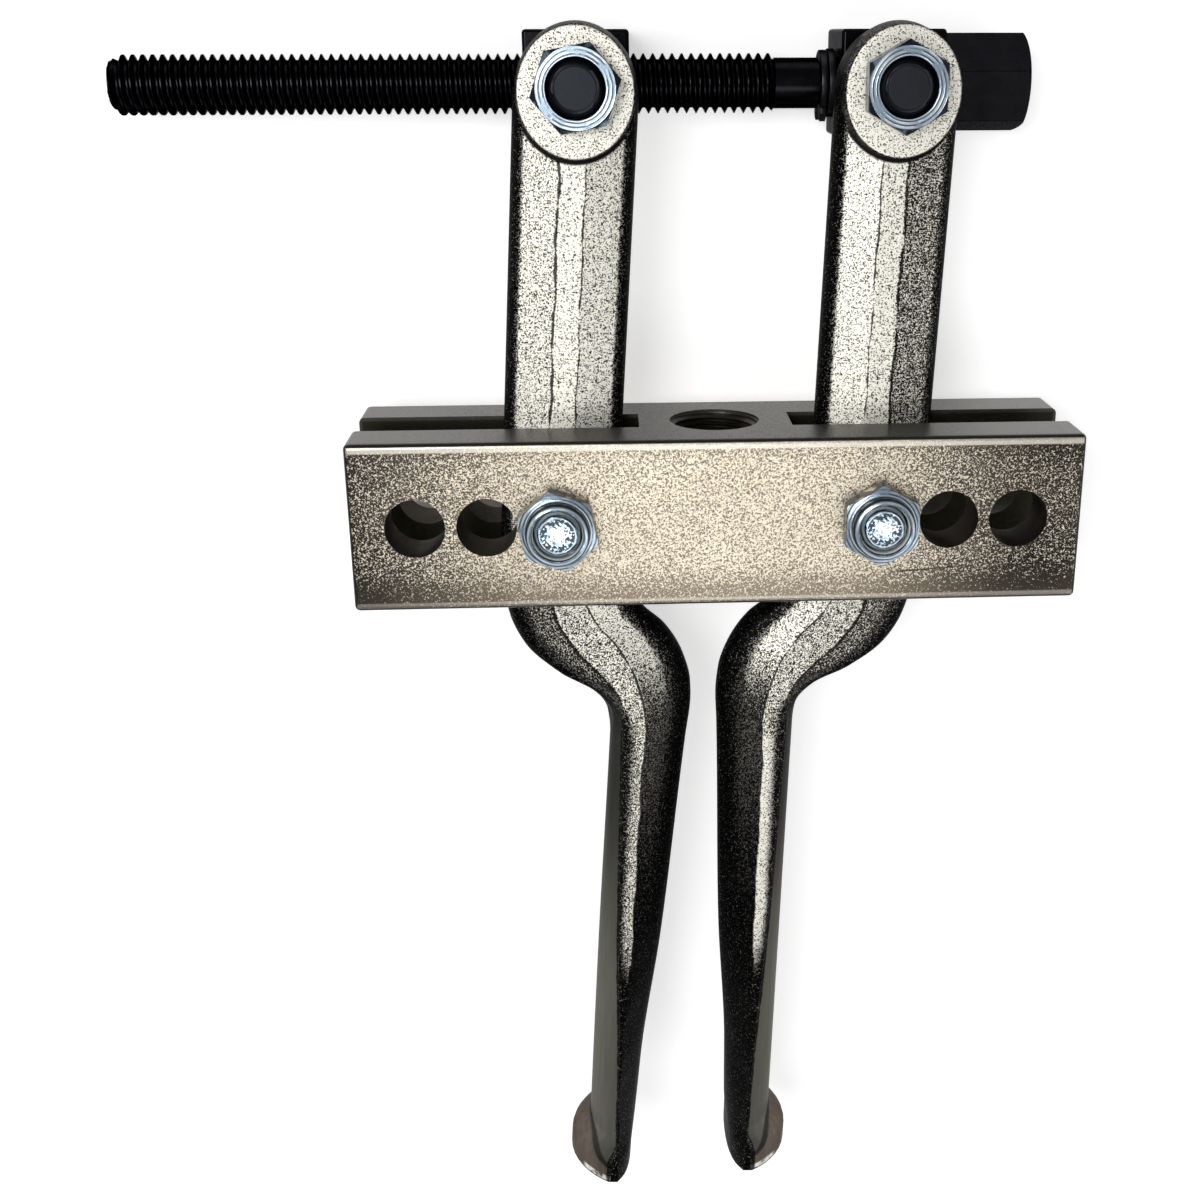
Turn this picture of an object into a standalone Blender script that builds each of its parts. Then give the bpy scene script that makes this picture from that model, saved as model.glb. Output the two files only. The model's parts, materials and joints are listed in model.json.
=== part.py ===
"""Internal puller attachment: two lever arms in a slotted crossbar, spread by a spindle.

The part lies on its back, as it does when it is put down on a bench. X runs along the
crossbar, Y runs from the claws up to the spindle, Z points up to the jam nuts.
All lengths are metres and all angles are degrees.
"""
import math

import bmesh
import bpy
from mathutils import Matrix, Vector

# General fits
RUNNING_GAP = 0.0003          # beside every pin, shaft and face that meets another piece
THREAD_PLAY = 0.00045         # round the spindle in the left block, where the linkage is opened
INSIDE = 0.001                # how far a joined shape starts inside its neighbour
MERGE = 0.00001               # distance at which a modifier joins doubled points
ROUND_STEPS = 36              # facets round a large turned shape
SMALL_STEPS = 26              # facets round a nut or its core
THREAD_STEPS = 12             # facets round one turn of the spindle's thread

# Crossbar
BAR_LENGTH = 0.160
BAR_HEIGHT = 0.0375
BAR_DEPTH = 0.0375
BAR_EDGE = 0.0012
SLOT_END = 0.017              # from the middle of the bar to the closed end of a slot
PIVOT_FIRST = 0.03508         # from the middle of the bar to the innermost cross hole
PIVOT_PITCH = 0.01539
PIVOT_COUNT = 3
CENTRE_BORE = 0.0181

# Lever arms
ARM_THICKNESS = 0.0120        # across the two flat ridges, where the arm runs in its slot
ARM_WIDTH = 0.0264
ARM_SHOULDER = 0.0045         # height of the long facets' outer edge above the parting line
ARM_ROUND = 0.0030            # width of the rounded side beside each facet
ARM_RIDGE = 0.0055            # width of the flat ridge
PIVOT_TO_EYE = 0.0903
LEFT_LEAN = 3.8               # both arms lean to the right in the position shown
RIGHT_LEAN = 2.2
EYE_WIDTH = 0.0245            # the oval face of the eye's boss
EYE_LENGTH = 0.0268
EYE_DROP = 0.0010             # the oval's middle lies this far below the eye
EYE_DEPTH = 0.0166            # from one face of the boss to the other
EYE_DRAFT = 0.0006            # how much the boss widens down to the parting line
EYE_EDGE = 0.0006
LEG_OUTER = 0.0138            # from the pivot's line to the outer side of the leg
LEG_LENGTH = 0.1762           # from the pivot to the sole of the claw
KNEE_TOP = 0.008              # below the pivot, where the upper arm starts to bend
KNEE_OUT = 0.0328             # how far inward the knee reaches
KNEE_HEIGHT = 0.0490          # from the start of that bend to the start of the leg
SEAT_RADIUS = 0.0190          # turned outer side of the leg
LIP_REACH = 0.0045            # how far the claw's lip stands out from that seat
LIP_RADIUS = 0.0186           # round the lip, seen from below the sole
LIP_RIM = 0.0050
LIP_SLOPE = 0.0065
TOE_INNER = 0.0251            # from the pivot's line to the flat inner side of the toe

# Swivel blocks and spindle
BLOCK_SIZE = 0.0227
BLOCK_EDGE = 0.0008
STUD_JOURNAL = 0.0126
STUD_THREAD = 0.0111
STUD_TIP = 0.0080
SPINDLE_DIAMETER = 0.0127
THREAD_LENGTH = 0.1430
THREAD_PITCH = 0.0254 / 12
THREAD_DEPTH = 0.0012
SHANK_LENGTH = 0.0250         # from the right eye to where the thread starts
SHANK_DIAMETER = 0.0108
BLOCK_OFFSET = 0.0007         # the right block stands this far outward of its stud
TIP_CHAMFER = 0.0017
HEAD_ACROSS = 0.0190
HEAD_LENGTH = 0.0193
HEAD_ROUND = 0.0034
HEAD_TURN = 46.0              # keeps the hexagon as the photograph shows it
CLIP_THICKNESS = 0.0014
CLIP_GROOVE = 0.0094          # diameter at the bottom of the groove
CLIP_WIDTH = 0.0019
CLIP_GAP = 22.0               # half the opening between the lugs
CLIP_LUG = 0.0016
WASHER_DIAMETER = 0.0146
WASHER_THICKNESS = 0.0016

# Fasteners
JAM_ACROSS = 0.0164
JAM_HEIGHT = 0.0051
JAM_TURN = (10.8, 30.0)
CHAMFER_FACE = 0.97           # a chamfered nut's round face, as a share of its flats
CHAMFER_FALL = 0.577          # slope of that chamfer, 30 degrees
BOLT_SHOULDER = 0.0124
BOLT_THREAD = 0.0100
BOLT_TIP = 0.0080
BOLT_STICKS_OUT = 0.0067      # past the crossbar's front face
BOLT_HEAD_ACROSS = 0.0190
BOLT_HEAD_HEIGHT = 0.0100
LOCKNUT_ACROSS = 0.0160
LOCKNUT_HEX = 0.0046
LOCKNUT_COLLAR = 0.0026
COLLAR_DIAMETER = 0.0138
LOCKNUT_TURN = (42.0, 30.0)
COLLAR_WALL = 0.0007
INSERT_HEIGHT = 0.0016

# Sizes that follow from those above
SLOT_WIDTH = ARM_THICKNESS + 2 * RUNNING_GAP
CROSS_BORE = BOLT_SHOULDER + 2 * RUNNING_GAP
EYE_BORE = STUD_JOURNAL + 2 * RUNNING_GAP
BLOCK_FRONT = -EYE_DEPTH / 2 - RUNNING_GAP
SPINDLE_Z = BLOCK_FRONT - BLOCK_SIZE / 2
SEAT_CENTRE = LEG_OUTER + SEAT_RADIUS + 0.0002
SIDES = {"left": -1, "right": 1}
LEANS = {"left": LEFT_LEAN, "right": RIGHT_LEAN}


def clear_scene():
    """Remove every object that a new file starts with."""
    for old in list(bpy.data.objects):
        bpy.data.objects.remove(old, do_unlink=True)


def new_collection(name):
    made = bpy.data.collections.new(name)
    bpy.context.scene.collection.children.link(made)
    return made


clear_scene()
PULLER = new_collection("internal_puller_attachment")
CUTTERS = new_collection("cutters")


def material(name, colour, roughness, metallic):
    """A plain surface: one colour, one roughness, metal or not."""
    made = bpy.data.materials.new(name)
    made.use_nodes = True
    shader = made.node_tree.nodes["Principled BSDF"]
    shader.inputs["Base Color"].default_value = (*colour, 1.0)
    shader.inputs["Roughness"].default_value = roughness
    shader.inputs["Metallic"].default_value = metallic
    return made


NICKEL = material("satin_nickel", (0.52, 0.47, 0.38), 0.42, 1.0)
FORGED = material("blasted_forging", (0.50, 0.45, 0.37), 0.50, 1.0)
BLACK_OXIDE = material("black_oxide", (0.02, 0.02, 0.022), 0.38, 0.8)
ZINC = material("blue_zinc", (0.55, 0.60, 0.64), 0.25, 1.0)
SPRING_STEEL = material("spring_steel", (0.03, 0.03, 0.032), 0.35, 0.9)
NYLON = material("nylon", (0.62, 0.62, 0.58), 0.55, 0.0)


def add_object(name, mesh, surface=None, cutter=False):
    """Put a mesh in the scene, as a piece of the puller or as a hidden tool shape."""
    made = bpy.data.objects.new(name, mesh)
    if cutter:
        CUTTERS.objects.link(made)
        made.display_type = "WIRE"
        made.hide_render = True
    else:
        PULLER.objects.link(made)
        mesh.materials.append(surface)
    return made


def empty(name, location, turn=0.0, parent=None):
    """A guide that carries pieces, turned about Z."""
    made = bpy.data.objects.new(name, None)
    PULLER.objects.link(made)
    made.location = location
    made.rotation_euler.z = math.radians(turn)
    made.parent = parent
    made.empty_display_size = 0.01
    return made


def finish(bm, name, smooth_angle=None):
    """Turn a bmesh into a mesh, smooth-shaded below the given crease angle."""
    mesh = bpy.data.meshes.new(name)
    bm.to_mesh(mesh)
    bm.free()
    if smooth_angle is not None:
        mesh.shade_smooth()
        mesh.set_sharp_from_angle(angle=math.radians(smooth_angle))
    return mesh


def box(name, size, surface=None, cutter=False):
    """A block centred on its own origin."""
    bm = bmesh.new()
    bmesh.ops.create_cube(bm, size=1.0)
    bmesh.ops.scale(bm, vec=size, verts=bm.verts)
    return add_object(name, finish(bm, name), surface, cutter)


def rod(name, diameter, length, steps=SMALL_STEPS, cutter=True, surface=None):
    """A straight cylinder along Z, centred on its own origin."""
    bm = bmesh.new()
    bmesh.ops.create_cone(bm, cap_ends=True, segments=steps, radius1=diameter / 2,
                          radius2=diameter / 2, depth=length)
    return add_object(name, finish(bm, name, 40), surface, cutter)


def corner_of(across):
    """Radius that clears the corners of a hexagon."""
    return across / math.sqrt(3) + INSIDE


def lower_chamfer(across, bottom):
    """The turned envelope's lower corner, which trims a hexagon's own corners."""
    corner, face = corner_of(across), across / 2 * CHAMFER_FACE
    return [(corner, bottom + (corner - face) * CHAMFER_FALL), (face, bottom)]


def upper_chamfer(across, top):
    corner, face = corner_of(across), across / 2 * CHAMFER_FACE
    return [(face, top), (corner, top - (corner - face) * CHAMFER_FALL)]


def hexagon(name, across, profile, surface=None, cutter=False):
    """A hexagonal bar along Z, a corner on +X, trimmed by a turned envelope."""
    heights = [height for _, height in profile]
    bottom, top = min(heights) - INSIDE, max(heights) + INSIDE
    bm = bmesh.new()
    corner_to_x = Matrix.Rotation(math.radians(30), 4, "Z")
    middle = Matrix.Translation((0, 0, (top + bottom) / 2))
    bmesh.ops.create_cone(bm, cap_ends=True, segments=6, radius1=across / math.sqrt(3),
                          radius2=across / math.sqrt(3), depth=top - bottom,
                          matrix=middle @ corner_to_x)
    made = add_object(name, finish(bm, name), surface, cutter)
    envelope = turned("envelope_" + name, profile, cutter=True, steps=SMALL_STEPS)
    envelope.parent = made
    boolean(made, envelope, "INTERSECT")
    return made


def turned(name, profile, surface=None, cutter=False, steps=ROUND_STEPS, ring=False):
    """Turn a profile of (radius, height) about Z. It runs down the outer side.

    A ring's profile closes on itself; any other profile starts and ends on the axis.
    """
    bm = bmesh.new()
    points = [bm.verts.new((radius, 0, height)) for radius, height in profile]
    for first, second in zip(points, points[1:]):
        bm.edges.new((first, second))
    if ring:
        bm.edges.new((points[-1], points[0]))
    made = add_object(name, finish(bm, name), surface, cutter)
    screw = made.modifiers.new("turn", "SCREW")
    screw.axis = "Z"
    screw.steps = steps
    screw.render_steps = steps
    screw.use_merge_vertices = True
    screw.merge_threshold = MERGE
    screw.use_smooth_shade = True
    smooth_by_angle(made)
    return made


def thread_coil(name, outer, low, high):
    """A screw thread along Z, closed with a cone at each end, one pitch longer than low to high."""
    bm = bmesh.new()
    root = outer - THREAD_DEPTH
    tooth = [(root, 0.0), (outer, THREAD_PITCH / 2), (root, THREAD_PITCH)]
    points = [bm.verts.new((radius, 0, low - THREAD_PITCH + height)) for radius, height in tooth]
    for first, second in zip(points, points[1:]):
        bm.edges.new((first, second))
    coil = add_object(name, finish(bm, name), cutter=True)
    screw = coil.modifiers.new("turn", "SCREW")
    screw.axis = "Z"
    screw.screw_offset = THREAD_PITCH
    screw.iterations = math.ceil((high - low) / THREAD_PITCH) + 2
    screw.steps = THREAD_STEPS
    screw.render_steps = THREAD_STEPS
    smooth_by_angle(coil)
    close_with_cones(coil.data)
    return coil


def close_with_cones(mesh):
    """Join the turns of a coil and close its two ends with fans of triangles to the axis."""
    bm = bmesh.new()
    bm.from_mesh(mesh)
    bmesh.ops.remove_doubles(bm, verts=bm.verts, dist=MERGE)
    middle = sum(point.co.z for point in bm.verts) / len(bm.verts)
    rims = [edge for edge in bm.edges if edge.is_boundary]
    for end in (-1, 1):
        rim = [edge for edge in rims if (edge.verts[0].co.z - middle) * end > 0]
        heights = [point.co.z for edge in rim for point in edge.verts]
        tip = bm.verts.new((0, 0, sum(heights) / len(heights)))
        for edge in rim:
            bm.faces.new((edge.verts[0], edge.verts[1], tip))
    bmesh.ops.recalc_face_normals(bm, faces=bm.faces)
    bm.to_mesh(mesh)
    bm.free()


def smooth_by_angle(made, angle=35):
    """Bake the modifiers so far and keep creases sharp on the smooth-shaded result."""
    depsgraph = bpy.context.evaluated_depsgraph_get()
    baked = bpy.data.meshes.new_from_object(made.evaluated_get(depsgraph))
    made.modifiers.clear()
    made.data = baked
    baked.shade_smooth()
    baked.set_sharp_from_angle(angle=math.radians(angle))


def boolean(target, tool, operation):
    step = target.modifiers.new(operation.lower() + "_" + tool.name, "BOOLEAN")
    step.operation = operation
    step.object = tool
    step.solver = "EXACT"


def weld(target):
    """Join the doubled points that a Boolean can leave at a corner."""
    step = target.modifiers.new("weld", "WELD")
    step.merge_threshold = MERGE


def bevel(target, width, segments=3):
    step = target.modifiers.new("edges", "BEVEL")
    step.width = width
    step.segments = segments
    step.limit_method = "ANGLE"
    step.angle_limit = math.radians(40)


def place(made, location=(0, 0, 0), turn=0.0, parent=None):
    made.location = location
    made.rotation_euler.z = math.radians(turn)
    made.parent = parent
    return made


def pivot_at(side):
    return Vector((SIDES[side] * PIVOT_FIRST, 0, 0))


def eye_at(side):
    """The eye's middle: the arm's length from the pivot, along its lean."""
    lean = math.radians(LEANS[side])
    return pivot_at(side) + PIVOT_TO_EYE * Vector((math.sin(lean), math.cos(lean), 0))


def spindle_slope():
    across = eye_at("right") - eye_at("left")
    return math.degrees(math.atan2(across.y, across.x))


def build_crossbar(frame):
    """A square bar, slotted from both ends, with three cross holes on each side."""
    bar = place(box("crossbar", (BAR_LENGTH, BAR_HEIGHT, BAR_DEPTH), NICKEL), parent=frame)
    bevel(bar, BAR_EDGE)
    slot_length = BAR_LENGTH / 2 - SLOT_END + BAR_EDGE * 4
    for side, sign in SIDES.items():
        slot = box("slot_" + side, (slot_length, BAR_HEIGHT * 1.5, SLOT_WIDTH), cutter=True)
        place(slot, (sign * (SLOT_END + slot_length / 2), 0, 0), parent=frame)
        boolean(bar, slot, "DIFFERENCE")
        for index in range(PIVOT_COUNT):
            hole = rod("cross_hole_%s_%d" % (side, index), CROSS_BORE, BAR_DEPTH * 1.5)
            place(hole, (sign * (PIVOT_FIRST + index * PIVOT_PITCH), 0, 0), parent=frame)
            boolean(bar, hole, "DIFFERENCE")
    centre = place(rod("centre_hole", CENTRE_BORE, BAR_HEIGHT * 1.5, ROUND_STEPS), parent=frame)
    centre.rotation_euler.x = math.radians(90)
    boolean(bar, centre, "DIFFERENCE")


def station(outer, inner, ridge, height, turned_side=0.0, side=ARM_SHOULDER,
            inner_side=ARM_SHOULDER, soft=ARM_ROUND, inner_soft=ARM_ROUND,
            radius=SEAT_RADIUS, centre=SEAT_CENTRE, steps=4):
    """One section across the forging, from its outer to its inner parting line.

    ridge gives where the flat ridge starts and ends, as shares of the way across.
    turned_side is 0 for a forged outer side and 1 for the turned one. steps is the
    number of lofted rows from this station to the next.
    """
    values = [*outer, *inner, *ridge, height, turned_side, side, inner_side, soft,
              inner_soft, radius, centre]
    return values, steps


def arm_stations():
    """The forging's sections from the eye down to the sole, in the arm's own frame.

    The pivot is the origin, +Y points to the eye and +X to the other arm. The bend's own
    unit is one forty-ninth of its height: the table below was measured in that unit.
    """
    unit = KNEE_HEIGHT / 49
    half = ARM_WIDTH / 2
    ridge = (0.5 - ARM_RIDGE / ARM_WIDTH / 2, 0.5 + ARM_RIDGE / ARM_WIDTH / 2)
    flat = ARM_THICKNESS / 2
    top = PIVOT_TO_EYE - EYE_DROP
    below_eye = top - EYE_LENGTH / 2
    tuck = EYE_DRAFT / 8
    knee = -KNEE_TOP
    out = KNEE_OUT
    leg = LEG_OUTER
    leg_top = knee - KNEE_HEIGHT
    sole = -LEG_LENGTH
    rim = sole + LIP_RIM
    seat = rim + LIP_SLOPE
    toe = TOE_INNER
    seat_out = SEAT_CENTRE - SEAT_RADIUS
    lip_out = seat_out - LIP_REACH
    edge = LIP_RIM / 10
    toe_height = flat + 10.3 * unit
    lip = {"turned_side": 1.0, "inner_side": toe_height - 1.6 * unit, "inner_soft": 2.6 * unit,
           "centre": lip_out + LIP_RADIUS, "steps": 1}
    return [
        station((-half + tuck, top), (half - tuck, top), ridge, flat, steps=1),
        station((-half, below_eye), (half, below_eye), ridge, flat, steps=1),
        station((-half, knee), (half, knee), ridge, flat, steps=2),
        station((-half + 0.7 * unit, knee - 11 * unit), (half + 2.6 * unit, knee - 10 * unit),
                (0.38, 0.62), flat),
        station((-half + 2.4 * unit, knee - 19 * unit), (out - 12.5 * unit, knee - 16.5 * unit),
                (0.36, 0.62), flat),
        station((-half + 6.4 * unit, knee - 26.5 * unit), (out - 6.8 * unit, knee - 21.2 * unit),
                (0.34, 0.62), flat + 0.6 * unit, side=4.6 * unit),
        station((unit, knee - 32.8 * unit), (out - 2.4 * unit, knee - 28 * unit),
                (0.33, 0.58), flat + 1.5 * unit, side=5.2 * unit, inner_side=4.2 * unit),
        station((leg - 5.3 * unit, knee - 36.9 * unit), (out - 0.4 * unit, knee - 34.5 * unit),
                (0.28, 0.51), flat + 2.5 * unit, 0.15, side=6 * unit, inner_side=4 * unit,
                soft=2.6 * unit),
        station((leg - 0.7 * unit, knee - 42.5 * unit), (out, knee - 40 * unit),
                (0.20, 0.45), flat + 3 * unit, 0.6, side=6.6 * unit, inner_side=3.8 * unit,
                soft=2 * unit),
        station((leg + 0.2 * unit, leg_top), (out - 0.6 * unit, leg_top),
                (0.14, 0.44), flat + 3.4 * unit, 1.0, inner_side=3.8 * unit, steps=6),
        station((leg, (leg_top + seat) / 2), ((out + toe + unit) / 2, (leg_top + seat) / 2),
                (0.25, 0.51), flat + 6 * unit, 1.0, inner_side=4.6 * unit,
                inner_soft=2.4 * unit, steps=6),
        station((leg + 0.1 * unit, seat + 20 * unit), (toe + 1.4 * unit, seat + 20 * unit),
                (0.50, 0.54), flat + 8 * unit, 1.0, inner_side=7.5 * unit,
                inner_soft=2.4 * unit),
        station((seat_out, seat), (toe + 0.5 * unit, seat),
                (0.58, 0.62), flat + 8.6 * unit, 1.0, inner_side=11.5 * unit,
                inner_soft=2.6 * unit, steps=1),
        station((lip_out, rim), (toe, rim), (0.68, 0.765), toe_height, radius=LIP_RADIUS, **lip),
        station((lip_out, sole + edge), (toe, sole + edge), (0.68, 0.765), toe_height,
                radius=LIP_RADIUS, **lip),
        station((lip_out + edge, sole), (toe - edge, sole), (0.68, 0.765), toe_height - edge,
                radius=LIP_RADIUS - edge, **lip),
    ]


def slope_between(before, after, first_rise, second_rise):
    """Tangent at a station that never carries the curve past its neighbours."""
    if first_rise * second_rise <= 0:
        return 0.0
    first_weight = 2 * after + before
    second_weight = after + 2 * before
    weights = first_weight + second_weight
    return weights / (first_weight / first_rise + second_weight / second_rise)


def smooth_rows(stations):
    """Rows between the stations, each value running smoothly from one to the next."""
    keys = [values for values, _ in stations]
    middles = [((row[0] + row[2]) / 2, (row[1] + row[3]) / 2) for row in keys]
    gaps = [math.dist(a, b) for a, b in zip(middles, middles[1:])]
    rises = [[(q - p) / gap for p, q in zip(a, b)] for a, b, gap in zip(keys, keys[1:], gaps)]
    tangents = [rises[0]]
    for i in range(1, len(keys) - 1):
        tangents.append([slope_between(gaps[i - 1], gaps[i], u, v)
                         for u, v in zip(rises[i - 1], rises[i])])
    tangents.append(rises[-1])
    rows = []
    for i, gap in enumerate(gaps):
        steps = stations[i][1]
        for step in range(steps):
            t = step / steps
            start, end = (1 + 2 * t) * (1 - t) ** 2, t * t * (3 - 2 * t)
            lead, trail = gap * t * (1 - t) ** 2, gap * t * t * (t - 1)
            rows.append([start * a + end * b + lead * m + trail * n for a, b, m, n
                         in zip(keys[i], keys[i + 1], tangents[i], tangents[i + 1])])
    rows.append(keys[-1])
    return rows


def section(row):
    """Points of one row's front half, from the outer to the inner parting line."""
    (outer_x, outer_y, inner_x, inner_y, ridge_from, ridge_to, height, turned_side, side,
     inner_side, soft, inner_soft, radius, centre) = row
    outer, inner = Vector((outer_x, outer_y, 0)), Vector((inner_x, inner_y, 0))
    width = (inner - outer).length
    along = (inner - outer) / width
    bends = [math.radians(angle) for angle in (0, 30, 60, 90)]
    forged = [(soft * (1 - math.cos(a)), side * math.sin(a)) for a in bends]
    forged.append((ridge_from * width, height))
    arc = []
    for share in (0, 0.34, 0.62, 0.84, 1):
        reach = height * share
        arc.append((centre - math.sqrt(radius ** 2 - reach ** 2) - outer_x, reach))
    half = [(f[0] + turned_side * (t[0] - f[0]), f[1] + turned_side * (t[1] - f[1]))
            for f, t in zip(forged, arc)]
    half[0] = (0, 0)
    half.append((max(ridge_to * width, half[-1][0] + ARM_RIDGE / 20), height))
    half += [(width - inner_soft * (1 - math.cos(a)), inner_side * math.sin(a))
             for a in reversed(bends)]
    return [outer + along * across + Vector((0, 0, up)) for across, up in half]


def arm_blank(name, inward):
    """Loft the front half and mirror it at the parting plane."""
    bm = bmesh.new()
    rows = []
    for row in smooth_rows(arm_stations()):
        rows.append([bm.verts.new((p.x * inward, p.y, p.z)) for p in section(row)])
    for upper, lower in zip(rows, rows[1:]):
        for i in range(len(upper) - 1):
            bm.faces.new((upper[i], lower[i], lower[i + 1], upper[i + 1]))
    bm.faces.new(rows[0])
    bm.faces.new(list(reversed(rows[-1])))
    if inward < 0:
        bmesh.ops.reverse_faces(bm, faces=bm.faces)
    arm = add_object(name, finish(bm, name, 22), FORGED)
    mirror = arm.modifiers.new("parting_plane", "MIRROR")
    mirror.use_axis = (False, False, True)
    mirror.merge_threshold = MERGE
    return arm


def eye_boss(name):
    """The proud oval round the eye, drafted to the parting plane from both faces."""
    half, face = EYE_DEPTH / 2, EYE_WIDTH / 2
    profile = [(0, half), (face - EYE_EDGE, half), (face, half - EYE_EDGE),
               (face + EYE_DRAFT, 0), (face, EYE_EDGE - half), (face - EYE_EDGE, -half), (0, -half)]
    boss = turned(name, profile, cutter=True)
    boss.scale.y = EYE_LENGTH / EYE_WIDTH
    return boss


def build_arm(side, frame):
    """One forged lever: eye boss on top, knee under the crossbar, claw at the foot."""
    arm = arm_blank("arm_" + side, -SIDES[side])
    place(arm, pivot_at(side), -LEANS[side], frame)
    boss = eye_boss("eye_boss_" + side)
    place(boss, (0, PIVOT_TO_EYE - EYE_DROP, 0), parent=arm)
    boolean(arm, boss, "UNION")
    pivot_hole = rod("pivot_hole_" + side, CROSS_BORE, BAR_DEPTH, ROUND_STEPS)
    boolean(arm, place(pivot_hole, parent=arm), "DIFFERENCE")
    eye_hole = rod("eye_hole_" + side, EYE_BORE, EYE_DEPTH * 2, ROUND_STEPS)
    boolean(arm, place(eye_hole, (0, PIVOT_TO_EYE, 0), parent=arm), "DIFFERENCE")


def build_pivot_bolt(side, frame):
    """A shoulder bolt from the back: the arm turns on its shoulder."""
    front = BAR_DEPTH / 2
    seat = -front - RUNNING_GAP
    end = front + BOLT_STICKS_OUT
    shoulder, thread, tip = BOLT_SHOULDER / 2, BOLT_THREAD / 2, BOLT_TIP / 2
    shank = turned("bolt_shank_" + side, [
        (0, end), (tip, end), (thread, end - (thread - tip)), (thread, front - RUNNING_GAP),
        (shoulder, front - RUNNING_GAP), (shoulder, seat - INSIDE), (0, seat - INSIDE)],
        cutter=True)
    bottom = seat - BOLT_HEAD_HEIGHT
    profile = [(0, seat), (corner_of(BOLT_HEAD_ACROSS), seat),
               *lower_chamfer(BOLT_HEAD_ACROSS, bottom), (0, bottom)]
    bolt = hexagon("pivot_bolt_" + side, BOLT_HEAD_ACROSS, profile, ZINC)
    boolean(bolt, shank, "UNION")
    shank.parent = bolt
    place(bolt, pivot_at(side), parent=frame)


def build_locknut(side, frame):
    """Hexagon below, rolled collar above, and a nylon ring held inside the collar."""
    seat = BAR_DEPTH / 2 + RUNNING_GAP
    collar_seat = seat + LOCKNUT_HEX
    top = collar_seat + LOCKNUT_COLLAR
    outer = COLLAR_DIAMETER / 2
    roll = LOCKNUT_COLLAR / 2
    bends = [math.radians(22.5 * k) for k in range(5)]
    rolled = [(outer - roll * (1 - math.sin(a)), top - roll * (1 - math.cos(a))) for a in bends]
    pocket = outer - COLLAR_WALL
    lip = pocket - COLLAR_WALL
    corner = corner_of(LOCKNUT_ACROSS)
    profile = [(0, top), *rolled, (outer, collar_seat),
               (corner, collar_seat - (corner - outer) * CHAMFER_FALL),
               *lower_chamfer(LOCKNUT_ACROSS, seat), (0, seat)]
    nut = hexagon("pivot_nut_" + side, LOCKNUT_ACROSS, profile, ZINC)
    bore = BOLT_THREAD / 2 + RUNNING_GAP
    roof = top - COLLAR_WALL
    floor = roof - INSERT_HEIGHT - 2 * RUNNING_GAP
    core = turned("nut_core_" + side, [
        (0, top + INSIDE), (lip, top + INSIDE), (lip, roof), (pocket, roof), (pocket, floor),
        (bore, floor), (bore, seat - INSIDE), (0, seat - INSIDE)], cutter=True, steps=SMALL_STEPS)
    boolean(nut, core, "DIFFERENCE")
    core.parent = nut
    place(nut, pivot_at(side), LOCKNUT_TURN[side == "right"], frame)
    ring_top = roof - RUNNING_GAP
    ring_outer = pocket - RUNNING_GAP
    insert = turned("nut_insert_" + side, [
        (bore, ring_top), (ring_outer, ring_top), (ring_outer, ring_top - INSERT_HEIGHT),
        (bore, ring_top - INSERT_HEIGHT)], NYLON, steps=SMALL_STEPS, ring=True)
    place(insert, pivot_at(side), parent=frame)


def build_swivel_block(side, eye):
    """A square block behind the eye, with a stud through it and a bore for the spindle."""
    block = box("swivel_block_" + side, (BLOCK_SIZE,) * 3, BLACK_OXIDE)
    outward = BLOCK_OFFSET if side == "right" else 0
    block.data.transform(Matrix.Translation((outward, 0, SPINDLE_Z)))
    place(block, parent=eye)
    bevel(block, BLOCK_EDGE, 2)
    shoulder = EYE_DEPTH / 2 + RUNNING_GAP / 2
    end = EYE_DEPTH / 2 + RUNNING_GAP + JAM_HEIGHT
    journal, thread, tip = STUD_JOURNAL / 2, STUD_THREAD / 2, STUD_TIP / 2
    root = BLOCK_FRONT - INSIDE
    stud = turned("stud_" + side, [
        (0, end), (tip, end), (thread, end - (thread - tip)), (thread, shoulder),
        (journal, shoulder), (journal, root), (0, root)], cutter=True)
    boolean(block, place(stud, parent=block), "UNION")
    if side == "left":
        bore = SPINDLE_DIAMETER + 2 * THREAD_PLAY
    else:
        bore = SHANK_DIAMETER + 2 * RUNNING_GAP
    hole = rod("spindle_bore_" + side, bore, BLOCK_SIZE * 2, ROUND_STEPS)
    place(hole, (0, 0, SPINDLE_Z), parent=block)
    hole.rotation_euler.y = math.radians(90)
    boolean(block, hole, "DIFFERENCE")


def build_jam_nut(side, eye):
    """The thin nut in front of the eye that keeps the stud from pulling out."""
    seat = EYE_DEPTH / 2 + RUNNING_GAP
    top = seat + JAM_HEIGHT
    profile = [(0, top), *upper_chamfer(JAM_ACROSS, top), *lower_chamfer(JAM_ACROSS, seat), (0, seat)]
    nut = hexagon("jam_nut_" + side, JAM_ACROSS, profile, ZINC)
    bore = STUD_THREAD / 2 + RUNNING_GAP
    flare = STUD_JOURNAL / 2 - RUNNING_GAP
    core = turned("jam_core_" + side, [
        (0, top + INSIDE), (flare + INSIDE, top + INSIDE), (bore, top - (flare - bore)),
        (bore, seat - INSIDE), (0, seat - INSIDE)], cutter=True, steps=SMALL_STEPS)
    core.parent = nut
    boolean(nut, core, "DIFFERENCE")
    place(nut, turn=JAM_TURN[side == "right"] - spindle_slope(), parent=eye)


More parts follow.
